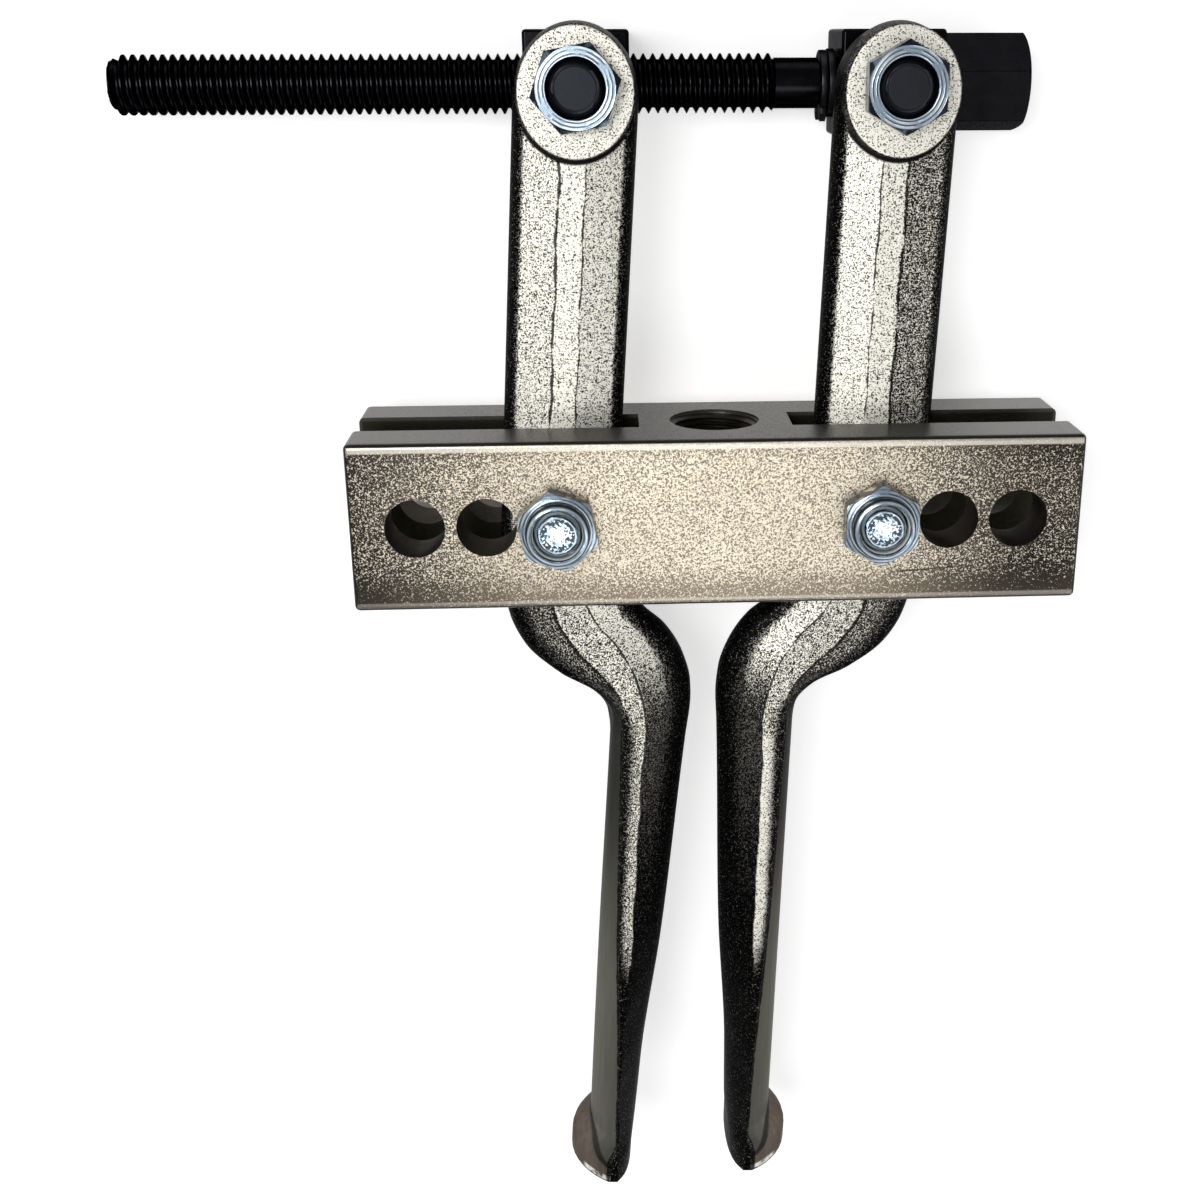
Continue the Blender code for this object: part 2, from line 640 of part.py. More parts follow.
def build_spindle(eye):
    """Thread, shank and hexagon head in one piece, lying behind the arms."""
    carrier = empty("spindle_axis", (0, 0, SPINDLE_Z), parent=eye)
    carrier.rotation_euler.y = math.radians(90)
    thread, shank, groove = SPINDLE_DIAMETER / 2, SHANK_DIAMETER / 2, CLIP_GROOVE / 2
    thread_end = -SHANK_LENGTH
    tip = thread_end - THREAD_LENGTH
    head = BLOCK_OFFSET + BLOCK_SIZE / 2 + RUNNING_GAP
    washer = BLOCK_OFFSET - BLOCK_SIZE / 2 - RUNNING_GAP - WASHER_THICKNESS
    clip = washer - RUNNING_GAP - CLIP_THICKNESS
    groove_start, groove_end = clip - RUNNING_GAP, clip + CLIP_THICKNESS + RUNNING_GAP
    run_out = thread - shank
    root = thread - THREAD_DEPTH
    core = root - RUNNING_GAP
    spindle = turned("spindle", [
        (0, head + INSIDE), (shank, head + INSIDE), (shank, groove_end), (groove, groove_end),
        (groove, groove_start), (shank, groove_start), (shank, thread_end), (core, thread_end),
        (core, thread_end - THREAD_PITCH), (0, thread_end - THREAD_PITCH)], BLACK_OXIDE)
    place(spindle, parent=carrier)
    coil = thread_coil("spindle_coil", thread, tip, thread_end)
    envelope = turned("envelope_spindle", [
        (0, thread_end), (shank, thread_end), (thread + INSIDE, thread_end - run_out - INSIDE),
        (thread + INSIDE, tip + TIP_CHAMFER + INSIDE), (thread - TIP_CHAMFER, tip), (0, tip)],
        cutter=True)
    envelope.parent = coil
    boolean(coil, envelope, "INTERSECT")
    boolean(spindle, place(coil, parent=carrier), "UNION")
    head_top = head + HEAD_LENGTH
    flat = corner_of(HEAD_ACROSS) - HEAD_ROUND
    bends = [math.radians(15 * k) for k in range(7)]
    domed = [(flat + HEAD_ROUND * math.sin(a), head_top - HEAD_ROUND * (1 - math.cos(a)))
             for a in bends]
    profile = [(0, head_top), *domed, (flat + HEAD_ROUND, head), (0, head)]
    hexa = hexagon("spindle_hexagon", HEAD_ACROSS, profile, cutter=True)
    place(hexa, turn=HEAD_TURN, parent=carrier)
    boolean(spindle, hexa, "UNION")
    weld(spindle)
    outer = WASHER_DIAMETER / 2
    inner = shank + RUNNING_GAP
    ring = turned("thrust_washer", [
        (inner, washer + WASHER_THICKNESS), (outer, washer + WASHER_THICKNESS), (outer, washer),
        (inner, washer)], SPRING_STEEL, ring=True)
    place(ring, parent=carrier)
    build_retaining_ring(carrier, clip + CLIP_THICKNESS / 2)


def build_retaining_ring(carrier, height):
    """A snap ring in the spindle's groove, open between two lugs."""
    inner = CLIP_GROOVE / 2 + RUNNING_GAP
    outer = inner + CLIP_WIDTH
    lug = outer + CLIP_LUG
    lug_turn = CLIP_GAP + math.degrees(CLIP_WIDTH / outer)
    outline = [(lug, CLIP_GAP), (lug, (CLIP_GAP + lug_turn) / 2), (lug - CLIP_LUG / 3, lug_turn)]
    turns = 24
    spread = 360 - 2 * (lug_turn + 4)
    outline += [(outer, lug_turn + 4 + spread * k / turns) for k in range(turns + 1)]
    outline += [(lug - CLIP_LUG / 3, -lug_turn), (lug, -(CLIP_GAP + lug_turn) / 2), (lug, -CLIP_GAP)]
    spread = 360 - 2 * CLIP_GAP
    outline += [(inner, -CLIP_GAP - spread * k / turns) for k in range(turns + 1)]
    curve = bpy.data.curves.new("retaining_ring", "CURVE")
    curve.dimensions = "2D"
    curve.fill_mode = "BOTH"
    curve.extrude = CLIP_THICKNESS / 2
    spline = curve.splines.new("POLY")
    spline.points.add(len(outline) - 1)
    for point, (radius, angle) in zip(spline.points, outline):
        a = math.radians(angle)
        point.co = (radius * math.cos(a), radius * math.sin(a), 0, 1)
    spline.use_cyclic_u = True
    curve.materials.append(SPRING_STEEL)
    ring = bpy.data.objects.new("retaining_ring", curve)
    PULLER.objects.link(ring)
    ring.location.z = height
    ring.rotation_euler.z = math.radians(-90)
    ring.parent = carrier


def stand_on_back(frame):
    """Move the part so that its box stands on the origin's plane, centred over it."""
    bpy.context.view_layer.update()
    depsgraph = bpy.context.evaluated_depsgraph_get()
    corners = []
    for made in PULLER.objects:
        if made.type == "EMPTY":
            continue
        solid = made.evaluated_get(depsgraph)
        shape = solid.to_mesh()
        corners += [solid.matrix_world @ point.co for point in shape.vertices]
        solid.to_mesh_clear()
    low = [min(point[i] for point in corners) for i in range(3)]
    high = [max(point[i] for point in corners) for i in range(3)]
    frame.location = (-(low[0] + high[0]) / 2, -(low[1] + high[1]) / 2, -low[2])
    bpy.context.view_layer.update()


def build():
    frame = empty("crossbar_middle", (0, 0, 0))
    build_crossbar(frame)
    for side in SIDES:
        build_arm(side, frame)
        build_pivot_bolt(side, frame)
        build_locknut(side, frame)
        eye = empty("eye_" + side, eye_at(side), spindle_slope(), frame)
        build_swivel_block(side, eye)
        build_jam_nut(side, eye)
        if side == "right":
            build_spindle(eye)
    stand_on_back(frame)


build()
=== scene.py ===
# %% [markdown]
# # Internal puller attachment: dressing the CAD frame
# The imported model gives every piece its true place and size. This script keeps that frame
# and gives it threads, rounded edges and metal finishes, so that it looks like the real tool.

# %% Load the frame
import json
import math

import bmesh
import bpy
from mathutils import Matrix, Vector
from mathutils.kdtree import KDTree


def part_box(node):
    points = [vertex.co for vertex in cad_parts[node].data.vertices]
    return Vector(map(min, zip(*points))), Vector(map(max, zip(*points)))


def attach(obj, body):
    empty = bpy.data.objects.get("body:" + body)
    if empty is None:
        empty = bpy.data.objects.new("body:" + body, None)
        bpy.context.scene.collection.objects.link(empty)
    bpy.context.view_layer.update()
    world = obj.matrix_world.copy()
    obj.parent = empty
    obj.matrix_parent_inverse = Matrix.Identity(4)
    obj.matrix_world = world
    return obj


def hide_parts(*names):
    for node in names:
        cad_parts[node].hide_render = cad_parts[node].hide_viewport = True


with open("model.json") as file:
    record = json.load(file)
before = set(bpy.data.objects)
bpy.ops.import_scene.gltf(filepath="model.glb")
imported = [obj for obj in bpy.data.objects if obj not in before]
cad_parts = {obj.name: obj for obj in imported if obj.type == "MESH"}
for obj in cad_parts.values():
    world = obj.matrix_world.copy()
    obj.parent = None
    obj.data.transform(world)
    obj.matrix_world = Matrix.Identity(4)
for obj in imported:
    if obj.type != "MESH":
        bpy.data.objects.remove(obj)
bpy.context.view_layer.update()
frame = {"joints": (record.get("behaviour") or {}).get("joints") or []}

JOINTS = {joint["name"]: joint for joint in frame["joints"]}
SIDES = {"left": -1, "right": 1}

# %% [markdown]
# ## Where things are
# A hinge's place is the middle of its pin, so the joints of the model give the pivots, the
# eyes and the spindle's axis. The crossbar's box gives its size. Reading them from the frame,
# and not typing them again, keeps the scene right when the model changes.

# %% Places taken from the frame
bar_low, bar_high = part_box("crossbar")
BAR_MIDDLE = (bar_low + bar_high) / 2
BAR = [round(size, 6) for size in bar_high - bar_low]  # length, height and depth
PIVOT = {side: Vector(JOINTS["arm_%s_swing" % side]["pos_m"]) for side in SIDES}
EYE = {side: Vector(JOINTS["block_%s_swivel" % side]["pos_m"]) for side in SIDES}
SPINDLE = Vector(JOINTS["spindle_spin"]["pos_m"])
SPINDLE_TURN = math.atan2(EYE["right"].y - EYE["left"].y, EYE["right"].x - EYE["left"].x)


def standing(place, turn=0.0):
    """A frame with Z up, turned about Z."""
    return Matrix.Translation(place) @ Matrix.Rotation(turn, 4, "Z")


def spin(axis, degrees):
    """A turn about one axis."""
    return Matrix.Rotation(math.radians(degrees), 4, axis)


def in_scene(name, data):
    """A new object that is linked to the scene."""
    made = bpy.data.objects.new(name, data)
    bpy.context.scene.collection.objects.link(made)
    return made


def arm_frame(side):
    """The pivot is the origin and +Y points to the eye."""
    reach = EYE[side] - PIVOT[side]
    return standing(PIVOT[side], -math.atan2(reach.x, reach.y))


SPINDLE_FRAME = standing(SPINDLE, SPINDLE_TURN) @ spin("Y", 90)
print("pivot to eye in mm:", round(1000 * (EYE["left"] - PIVOT["left"]).length, 2))

# %% [markdown]
# ## The camera
# The photograph was taken from quite close, from a place over the upper arms, looking down
# and back to the crossbar. Its place, turn and focal length were solved from the bar's edges
# and the round holes. A small shift puts the middle of the picture where the photograph has it.

# %% Camera as in the photograph
PICTURE = 1200  # pixels along each side
FOCAL = 1555.8  # in those pixels
CENTRE = (703.3, 586.2)  # the pixel that the camera looks straight at
CAMERA_FROM_BAR = Vector((-0.02427, 0.10054, 0.34162))
CAMERA_TURNS = (("Z", -1.251), ("X", -19.515), ("Y", -3.866))  # degrees
camera_data = bpy.data.cameras.new("camera")
camera_data.sensor_width = 36
camera_data.lens = camera_data.sensor_width * FOCAL / PICTURE
camera_data.shift_x = (PICTURE / 2 - CENTRE[0]) / PICTURE
camera_data.shift_y = (CENTRE[1] - PICTURE / 2) / PICTURE
camera_data.clip_start = 0.01
camera = in_scene("camera", camera_data)
camera_place = Matrix.Translation(BAR_MIDDLE + CAMERA_FROM_BAR)
for axis, angle in CAMERA_TURNS:
    camera_place = camera_place @ spin(axis, angle)
camera.matrix_world = camera_place
bpy.context.scene.camera = camera
bpy.context.scene.view_settings.view_transform = "Standard"
print("lens in mm:", round(camera_data.lens, 2))

# %% [markdown]
# ## Shader maths as Python
# A material is a graph of nodes. Wrapping an output socket in a small class lets the graph be
# written as an expression: `1 - mask * 0.5` adds its own Math nodes. Every other node comes
# from one method, which takes the node's type, its settings and what goes into its sockets.


# %% Values and finishes
class Value:
    """One output socket, which Python can add, multiply and so on."""

    def __init__(self, finish, socket):
        self.finish = finish
        self.socket = socket

    def maths(self, operation, other=0.0, swapped=False):
        first, second = (other, self) if swapped else (self, other)
        return self.finish.node("ShaderNodeMath", {"operation": operation}, {0: first, 1: second})

    def __add__(self, other):
        return self.maths("ADD", other)

    def __sub__(self, other):
        return self.maths("SUBTRACT", other)

    def __rsub__(self, other):
        return self.maths("SUBTRACT", other, swapped=True)

    def __mul__(self, other):
        return self.maths("MULTIPLY", other)

    def __truediv__(self, other):
        return self.maths("DIVIDE", other)

    def __pow__(self, other):
        return self.maths("POWER", other)

    def __abs__(self):
        return self.maths("ABSOLUTE")

    __radd__ = __add__
    __rmul__ = __mul__

    def rise(self, low, high):
        """0 below low, 1 above high and a soft step between. It falls where low is the larger."""
        return self.finish.node("ShaderNodeMapRange", {"interpolation_type": "SMOOTHSTEP"},
                                {"Value": self, "From Min": low, "From Max": high})


class Finish:
    """A material that is being written."""

    def __init__(self, name, metallic):
        self.material = bpy.data.materials.new(name)
        self.material.use_nodes = True
        self.tree = self.material.node_tree
        self.shader = self.tree.nodes["Principled BSDF"]
        self.shader.inputs["Metallic"].default_value = metallic
        self.coordinates = self.node("ShaderNodeTexCoord", output="Object")
        self.normal = self.node("ShaderNodeTexCoord", output="Normal")

    def feed(self, socket, value):
        """Link a value to a socket, or set the socket to a constant."""
        if isinstance(value, Value):
            self.tree.links.new(value.socket, socket)
        else:
            socket.default_value = value

    def node(self, kind, settings=None, inputs=None, output=0):
        made = self.tree.nodes.new(kind)
        for name, value in (settings or {}).items():
            setattr(made, name, value)
        for name, value in (inputs or {}).items():
            self.feed(made.inputs[name], value)
        return Value(self, made.outputs[output])

    def write(self, name, value):
        """Give the shader one of its inputs."""
        self.feed(self.shader.inputs[name], value)

    def noise(self, scale, detail=2.0, stretch=(1, 1, 1), roughness=0.5):
        """Clouds whose grains are about 1 / scale metres wide, longer where stretch is small."""
        place = self.node("ShaderNodeVectorMath", {"operation": "MULTIPLY"},
                          {0: self.coordinates, 1: stretch})
        return self.node("ShaderNodeTexNoise", None, {"Vector": place, "Scale": scale,
                                                      "Detail": detail, "Roughness": roughness})

    def part(self, vector, axis):
        return self.node("ShaderNodeSeparateXYZ", None, {0: vector}, axis)

    def stored(self, name):
        """A number that the mesh keeps at each of its points."""
        return self.node("ShaderNodeAttribute", {"attribute_name": name}, output="Fac")

    def rays(self, *kinds):
        """1 for rays of these kinds, such as those from the camera, and 0 for the others."""
        return sum(self.node("ShaderNodeLightPath", output=kind) for kind in kinds)

    def mix(self, share, first, second):
        """From the first colour to the second."""
        def colour(value):
            return value if isinstance(value, Value) else (*value, 1.0)
        return self.node("ShaderNodeMix", {"data_type": "RGBA"},
                         {"Factor": share, 6: colour(first), 7: colour(second)}, 2)

    def bump(self, height, distance, strength):
        self.write("Normal", self.node("ShaderNodeBump", None, {
            "Height": height, "Distance": distance, "Strength": strength}))


# %% [markdown]
# ## Satin nickel
# The crossbar is blasted and nickel plated: a warm cream grey with a fine dark grain. Two
# clouds of different grain, one inside the other, give a surface that is never regular. Painted
# shade makes the bar darker towards its ends and at its lower and upper edge, and its top and
# the walls of its holes duller, browner and darker. A painted highlight, a thin bright line,
# runs along the front's edges, and beside it on the rounded rims a painted dark line. One long
# thin scratch runs below the right nut.


# %% Satin nickel of the crossbar
RIM_FROM, RIM_FULL = 0.00080, 0.00055  # in from the bar's outer faces


def satin_nickel():
    steel = Finish("satin_nickel", 0.88)
    fine, coarse = steel.noise(3500, 2, roughness=0.6), steel.noise(1700, 2)
    sideways = steel.part(steel.coordinates, 0)
    upright = steel.part(steel.coordinates, 1)
    along, up, out = abs(sideways), abs(upright), abs(steel.part(steel.coordinates, 2))
    half_length, half_height, half_depth = [size / 2 for size in BAR]

    # Painted shade: the bar is darker towards its ends and at its lower and upper edge, with more dark
    # grain there.
    shaded_ends = sideways.rise(-0.030, -0.088) + sideways.rise(0.024, 0.070)
    edges = upright.rise(-0.0080, -0.0185) + 0.4 * upright.rise(0.0130, 0.0180)
    grain = (fine * 0.65 + coarse * 0.35 + 0.020 - 0.090 * shaded_ends - 0.085 * edges).rise(0.465, 0.515)

    # Its regions: the front and the back, the walls of holes and slots, and the rounded rims.
    facing = abs(steel.part(steel.normal, 2))
    front = facing.rise(0.55, 0.95) * out.rise(0.012, 0.016)
    inside = up.rise(half_height - RIM_FULL, half_height - 0.00115)
    inside = inside * along.rise(half_length - 0.0003, half_length - 0.0010) * (1 - front)
    rims = [distance.rise(half - RIM_FROM, half - RIM_FULL) for distance, half
            in ((along, half_length), (up, half_height), (out, half_depth))]
    rim = rims[0].maths("MAXIMUM", rims[1]) * rims[2]

    # The plated front, with painted shade towards its ends and edges, a painted highlight along its upper
    # and lower edge, and its scratch.
    cloud = steel.noise(55, 2).rise(0.35, 0.70)
    plate = steel.mix(grain, (0.19, 0.158, 0.120), (0.91, 0.82, 0.66))
    plate = steel.mix(shaded_ends * 0.92, plate, steel.mix(grain, (0.008, 0.007, 0.006), (0.92, 0.85, 0.72)))
    plate = steel.mix(edges * 0.08 + cloud * 0.10, plate, (0.36, 0.30, 0.22))
    # Painted highlight: a thin bright line just inside the front's upper edge, and a fainter one at its
    # lower edge.
    painted_highlight = upright.rise(half_height - 0.00220, half_height - 0.00185)
    painted_highlight = painted_highlight + 0.35 * upright.rise(0.00195 - half_height, 0.00165 - half_height)
    plate = steel.mix(painted_highlight * 0.7, plate, (0.98, 0.92, 0.80))
    away = abs(upright - 0.067 * sideways + 0.01447)
    scratch = away.rise(0.00030, 0.00012) * sideways.rise(0.036, 0.041) * sideways.rise(0.056, 0.050)
    plate = steel.mix(scratch * 0.8, plate, (0.030, 0.025, 0.020))

    # Painted shade: the top and the other faces are duller, and the walls inside the holes and slots
    # darker.
    shaded_faces = steel.mix(fine, (0.058, 0.053, 0.046), (0.120, 0.112, 0.100))
    shaded_walls = steel.mix(cloud, (0.035, 0.029, 0.024), (0.20, 0.17, 0.14))
    shaded_walls = steel.mix(facing.rise(0.6, 0.9), shaded_walls, (0.030, 0.028, 0.018))
    shaded_faces = steel.mix(inside, shaded_faces, shaded_walls)
    colour = steel.mix(front, shaded_faces, plate)
    # Painted shade: a thin dark line along the front's rounded rims.
    steel.write("Base Color", steel.mix(rim * 0.97, colour, (0.010, 0.009, 0.008)))
    steel.write("Roughness", 0.34 + 0.12 * grain)
    steel.bump(grain, 0.00006, 0.7)
    return steel.material


NICKEL = satin_nickel()
print(NICKEL.name, "has", len(NICKEL.node_tree.nodes), "nodes")

# %% [markdown]
# ## Shot-blasted forging
# The arms are drop forgings, blasted with steel shot. Their faces are cream with a dark
# speckle, and ragged dark lines run where two faces meet. Painted light gives level faces more
# pale speckle, and painted shade makes their rounded sides nearly black. The mesh carries
# numbers at each point, which the finish reads: its place across and along the arm, how far in
# from the side it is, whether it lies on the ridge or on a ragged line, how far the leg was
# turned smooth there, and how much painted shade or light its facet carries.


# %% Blasted forging of the arms
TO_EYE, EYE_DROP, EYE_SIZE, EYE_DEPTH = 0.0903, 0.0010, (0.0245, 0.0268), 0.0166
EYE_PLACE = TO_EYE - EYE_DROP  # the middle of the boss, just below the eye's bore
LEG_LENGTH, LIP_RIM, LIP_SLOPE = 0.1762, 0.0050, 0.0065


def blasted_forging():
    steel = Finish("blasted_forging", 0.78)
    steel.write("Specular IOR Level", 0.2)
    steel.write("Specular Tint", (0.3, 0.3, 0.3, 1))
    fine, coarse = steel.noise(3400, 2, roughness=0.6), steel.noise(1700, 2)
    ragged = steel.noise(420, 4, roughness=0.75)

    # Painted light: level faces get more bright grain, the more so on the ridge, and least near the sides
    # and on the lower leg. The facet shade paints shade on some facets and a little light on others.
    upward = abs(steel.part(steel.normal, 2))
    across, along = steel.stored("across"), steel.stored("along")
    knee = along.rise(-0.012, -0.030)
    inset = steel.stored("inset") / (1 + 1.1 * knee)
    band = inset.rise(0.0010, 0.0036)
    leg = along.rise(-0.136, -0.100)
    level = upward.rise(0.80, 0.985) * band * leg
    ridge = steel.stored("ridge")
    painted_light_lift = 0.15 * level + ridge * level * (0.03 - 0.075 * knee) - 0.085 * steel.stored("facet_shade") - 0.110
    blast = fine * 0.65 + coarse * 0.35
    grain = (blast + painted_light_lift).rise(0.465, 0.515)
    face = (upward * (0.55 + 0.45 * band * leg) + (ragged - 0.5) * 0.16).rise(0.72, 0.93)

    # Ragged dark lines run along the edges of the ridge.
    patchy = steel.noise(160, 2).rise(0.30, 0.55)
    line = steel.stored("ridge_line") * (0.75 + 0.55 * patchy + 0.30 * knee) + (ragged - 0.5) * 2.0
    line = line.rise(0.50, 0.85)

    # The boss round the eye is painted bright on its face, as the level faces are, and has a painted
    # shade line at its foot.
    to_eye = along - EYE_PLACE
    oval = ((across / EYE_SIZE[0]) ** 2 + (to_eye / EYE_SIZE[1]) ** 2) ** 0.5 * 2
    foot = oval.rise(0.985, 1.0) * oval.rise(1.10, 1.06) * upward.rise(0.80, 0.90)
    boss = oval.rise(1.0, 0.985)
    face = face.maths("MAXIMUM", boss * upward.rise(0.80, 0.95))
    grain = grain.maths("MAXIMUM", boss * blast.rise(0.395, 0.45))
    dark = (line * 0.92 + foot).maths("MINIMUM", 1.0)

    # Pale scale on the faces, and painted shade on the sides: nearly black, with a few bright specks,
    # more on the upper leg.
    scale = steel.mix(grain, (0.035, 0.031, 0.026), (1.0, 0.975, 0.88))
    scale = steel.mix(dark, scale, (0.012, 0.011, 0.010))
    upper_leg = along.rise(-0.112, -0.058) * inset.rise(0.0010, 0.0028)
    specks = (blast - 0.135 + 0.105 * upper_leg).rise(0.475, 0.53)
    side = steel.mix(specks, (0.003, 0.003, 0.003), (0.25, 0.24, 0.22))
    colour = steel.mix(face, side, scale)

    # The turned side of the leg, darker upwards, and browner on the lip of the claw.
    turned = steel.stored("turned") * (1 - dark)
    streaks = steel.noise(900, 2, (1, 0.05, 1))
    smooth = steel.mix(streaks, (0.125, 0.124, 0.102), (0.235, 0.230, 0.196))
    smooth = steel.mix(along.rise(-0.128, -0.066) * 0.85, smooth, (0.016, 0.016, 0.014))
    height = abs(steel.part(steel.coordinates, 2))
    smooth = steel.mix(height.rise(0.0040, 0.0150) * 0.55, smooth, (0.040, 0.040, 0.036))
    claw = along + 0.0062 * (height / 0.0160) ** 2 - (LIP_RIM + LIP_SLOPE - LEG_LENGTH)
    smooth = steel.mix(claw.rise(0.0, -0.0012), smooth,
                       steel.mix(streaks, (0.085, 0.066, 0.055), (0.185, 0.152, 0.128)))

    # A painted shade line in the corner where the lip begins, and a painted highlight at the edge of the
    # sole.
    arc = claw.rise(0.0008, 0.0002) * claw.rise(-0.0012, -0.0005)
    smooth = steel.mix(arc * 0.8, smooth, (0.015, 0.013, 0.011))
    sole = along + LEG_LENGTH
    painted_sole_glint = sole.rise(0.0006, 0.0010) * sole.rise(0.0024, 0.0018) * height.rise(0.0100, 0.0115)
    smooth = steel.mix(painted_sole_glint * (ragged * 2).rise(0.75, 1.05), smooth, (0.95, 0.93, 0.85))
    steel.write("Base Color", steel.mix(turned, colour, smooth))
    steel.write("Roughness", 0.42 + 0.12 * grain)
    steel.bump(grain * (1 - turned * 0.9), 0.00012, 0.9)
    return steel.material


FORGED = blasted_forging()
print(FORGED.name, "has", len(FORGED.node_tree.nodes), "nodes")

# %% [markdown]
# ## Black oxide, zinc and nylon
# The blocks and the spindle are oiled black oxide, so dark that only their edges and the
# light on them show. Metal turns pale where light grazes it, and a dark specular tint keeps
# the black pieces black there. The nuts are zinc plated, bluish, and turned: rings run round
# their axis, on the thin nuts only on top and on the lock nuts down over the collar. Their
# sides are painted: dark blue as painted shade on the thin nuts, and cream on the lock nuts as
# a painted reflection of the crossbar, with a painted dark line on their bevels. The ring
# in each lock nut is plain nylon.


# %% Black oxide
def black_oxide(name, low, high, roughness):
    oxide = Finish(name, 1.0)
    oxide.write("Specular Tint", (0.15, 0.15, 0.16, 1))
    film, fine = oxide.noise(260, 3), oxide.noise(1800, 2)
    oxide.write("Base Color", oxide.mix(film * 0.6 + fine * 0.4, low, high))
    oxide.write("Roughness", roughness + 0.14 * film)
    oxide.bump(fine, 0.00003, 0.4)
    return oxide.material


OXIDE = black_oxide("black_oxide", (0.004, 0.004, 0.005), (0.017, 0.017, 0.020), 0.16)
STUD_END = black_oxide("stud_end", (0.020, 0.022, 0.026), (0.036, 0.039, 0.046), 0.42)
SPRING = black_oxide("spring_steel", (0.015, 0.015, 0.017), (0.045, 0.045, 0.050), 0.28)


# %% Blue zinc and nylon
def blue_zinc(name, low, high, painted_sides):
    """low and high: how level a face is where the turned rings begin and where they are full."""
    zinc = Finish(name, 0.92)
    x, y = zinc.part(zinc.coordinates, 0), zinc.part(zinc.coordinates, 1)
    radius = (x * x + y * y) ** 0.5
    cloud = zinc.noise(330, 3)
    pits = (zinc.noise(1700, 3) - (radius - 0.0022) * 75).rise(0.52, 0.44)
    rings = (radius * 7600 + cloud * 3).maths("SINE").rise(-0.3, 0.7) * cloud.rise(0.28, 0.50)
    level = zinc.part(zinc.normal, 2)
    flat, edge = level.rise(low, high), level.rise(0.10, 0.25) * level.rise(0.78, 0.60)
    end = radius.rise(0.0040, 0.0036)
    metal = zinc.mix(cloud.rise(0.35, 0.65), (0.52, 0.66, 0.79), (0.90, 0.97, 1.0))
    metal = zinc.mix(rings * 0.88 * (1 - end), metal, (0.026, 0.070, 0.135))
    metal = zinc.mix(pits * end * 0.95, metal, (0.020, 0.026, 0.034))
    # Painted colour for the sides: shade on the thin nuts, and on the lock nuts a cream painted
    # reflection of the crossbar.
    shaded = zinc.mix(cloud.rise(0.50, 0.66), (0.025, 0.032, 0.045), painted_sides)
    colour = zinc.mix(flat, shaded, metal)
    # Painted shade: a dark line on the bevels between the sides and the level faces.
    zinc.write("Base Color", zinc.mix(edge * 0.92, colour, (0.008, 0.011, 0.016)))
    zinc.write("Roughness", 0.22 + 0.14 * cloud)
    zinc.bump(rings * flat, 0.00004, 0.6)
    return zinc.material


def nylon():
    plastic = Finish("nylon", 0.0)
    cloud = plastic.noise(500, 2)
    plastic.write("Base Color", plastic.mix(cloud, (0.55, 0.57, 0.54), (0.72, 0.74, 0.71)))
    plastic.write("Roughness", 0.42 + 0.1 * cloud)
    return plastic.material


ZINC = blue_zinc("blue_zinc", 0.875, 0.93, (0.22, 0.29, 0.36))
BRIGHT_ZINC = blue_zinc("bright_zinc", 0.30, 0.70, (0.66, 0.62, 0.54))
NYLON = nylon()
print("small finishes:", [made.name for made in (OXIDE, STUD_END, SPRING, ZINC, BRIGHT_ZINC, NYLON)])

# %% [markdown]
# ## Making a piece
# Each piece is a mesh in a frame of its own. It is put in place by that frame, and then
# rides on a CAD body, so that it moves with its joint. It is shaded smooth, and the edges that
# turn by more than its crease angle stay sharp. On a piece with large flat faces, normals that
# are weighted by area keep the light even right up to its rounded edges.


# %% Helpers for pieces
SPECK = 0.000002  # points nearer than this are one point


def mesh_of(bm):
    """A mesh made from a bmesh, which is then freed. piece gives it its name."""
    mesh = bpy.data.meshes.new("mesh")
    bm.to_mesh(mesh)
    bm.free()
    return mesh


def clean(bm):
    """Join doubled points and drop the faces that have no area."""
    bmesh.ops.remove_doubles(bm, verts=bm.verts, dist=SPECK)
    bmesh.ops.dissolve_degenerate(bm, edges=bm.edges, dist=SPECK)
    bmesh.ops.recalc_face_normals(bm, faces=bm.faces)
    return bm


def carved(mesh, steps=(), edges=0.0, angle=35, segments=2):
    """Boolean steps of (operation, mesh, frame) on a mesh, then a bevel, all applied."""
    target = in_scene("target", mesh)
    tools = []
    for operation, tool_mesh, place in steps:
        tool = in_scene("tool", tool_mesh)
        tool.matrix_world = place
        step = target.modifiers.new("cut", "BOOLEAN")
        step.operation, step.object, step.solver = operation, tool, "EXACT"
        tools.append(tool)
    if edges:
        soft = target.modifiers.new("edges", "BEVEL")
        soft.width, soft.segments = edges, segments
        soft.limit_method, soft.angle_limit = "ANGLE", math.radians(angle)
    bpy.context.view_layer.update()
    done = bpy.data.meshes.new_from_object(target.evaluated_get(bpy.context.evaluated_depsgraph_get()))
    for used in [target, *tools]:
        bpy.data.objects.remove(used, do_unlink=True)
    return done


def piece(name, mesh, material, place, body, replaces=(), crease=32, flats=False):
    """Put a mesh in the scene as one named piece of the object, turned but not yet moved."""
    mesh.name = name
    mesh.transform(place.to_3x3().to_4x4())
    mesh.materials.clear()
    mesh.materials.append(material)
    mesh.shade_smooth()
    mesh.set_sharp_from_angle(angle=math.radians(crease))
    made = in_scene(name, mesh)
    made.matrix_world = Matrix.Translation(place.to_translation())
    if flats:
        even = made.modifiers.new("even_light", "WEIGHTED_NORMAL")
        even.keep_sharp, even.weight = True, 80
    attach(made, body)
    if replaces:
        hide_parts(*replaces)
    print("%-22s %6d faces" % (name, len(mesh.polygons)))
    return made


# %% [markdown]
# ## Turned pieces and real threads
# A turned shape is a stack of rings. A thread is the same stack in which each ring climbs by
# one pitch on its way round, so that its end meets the start of the ring one tooth further
# on. Where the thread ends, its rings are held to the end's plane and to a cone, as a die
# leaves them. Doubled points are joined afterwards, which closes the seam.

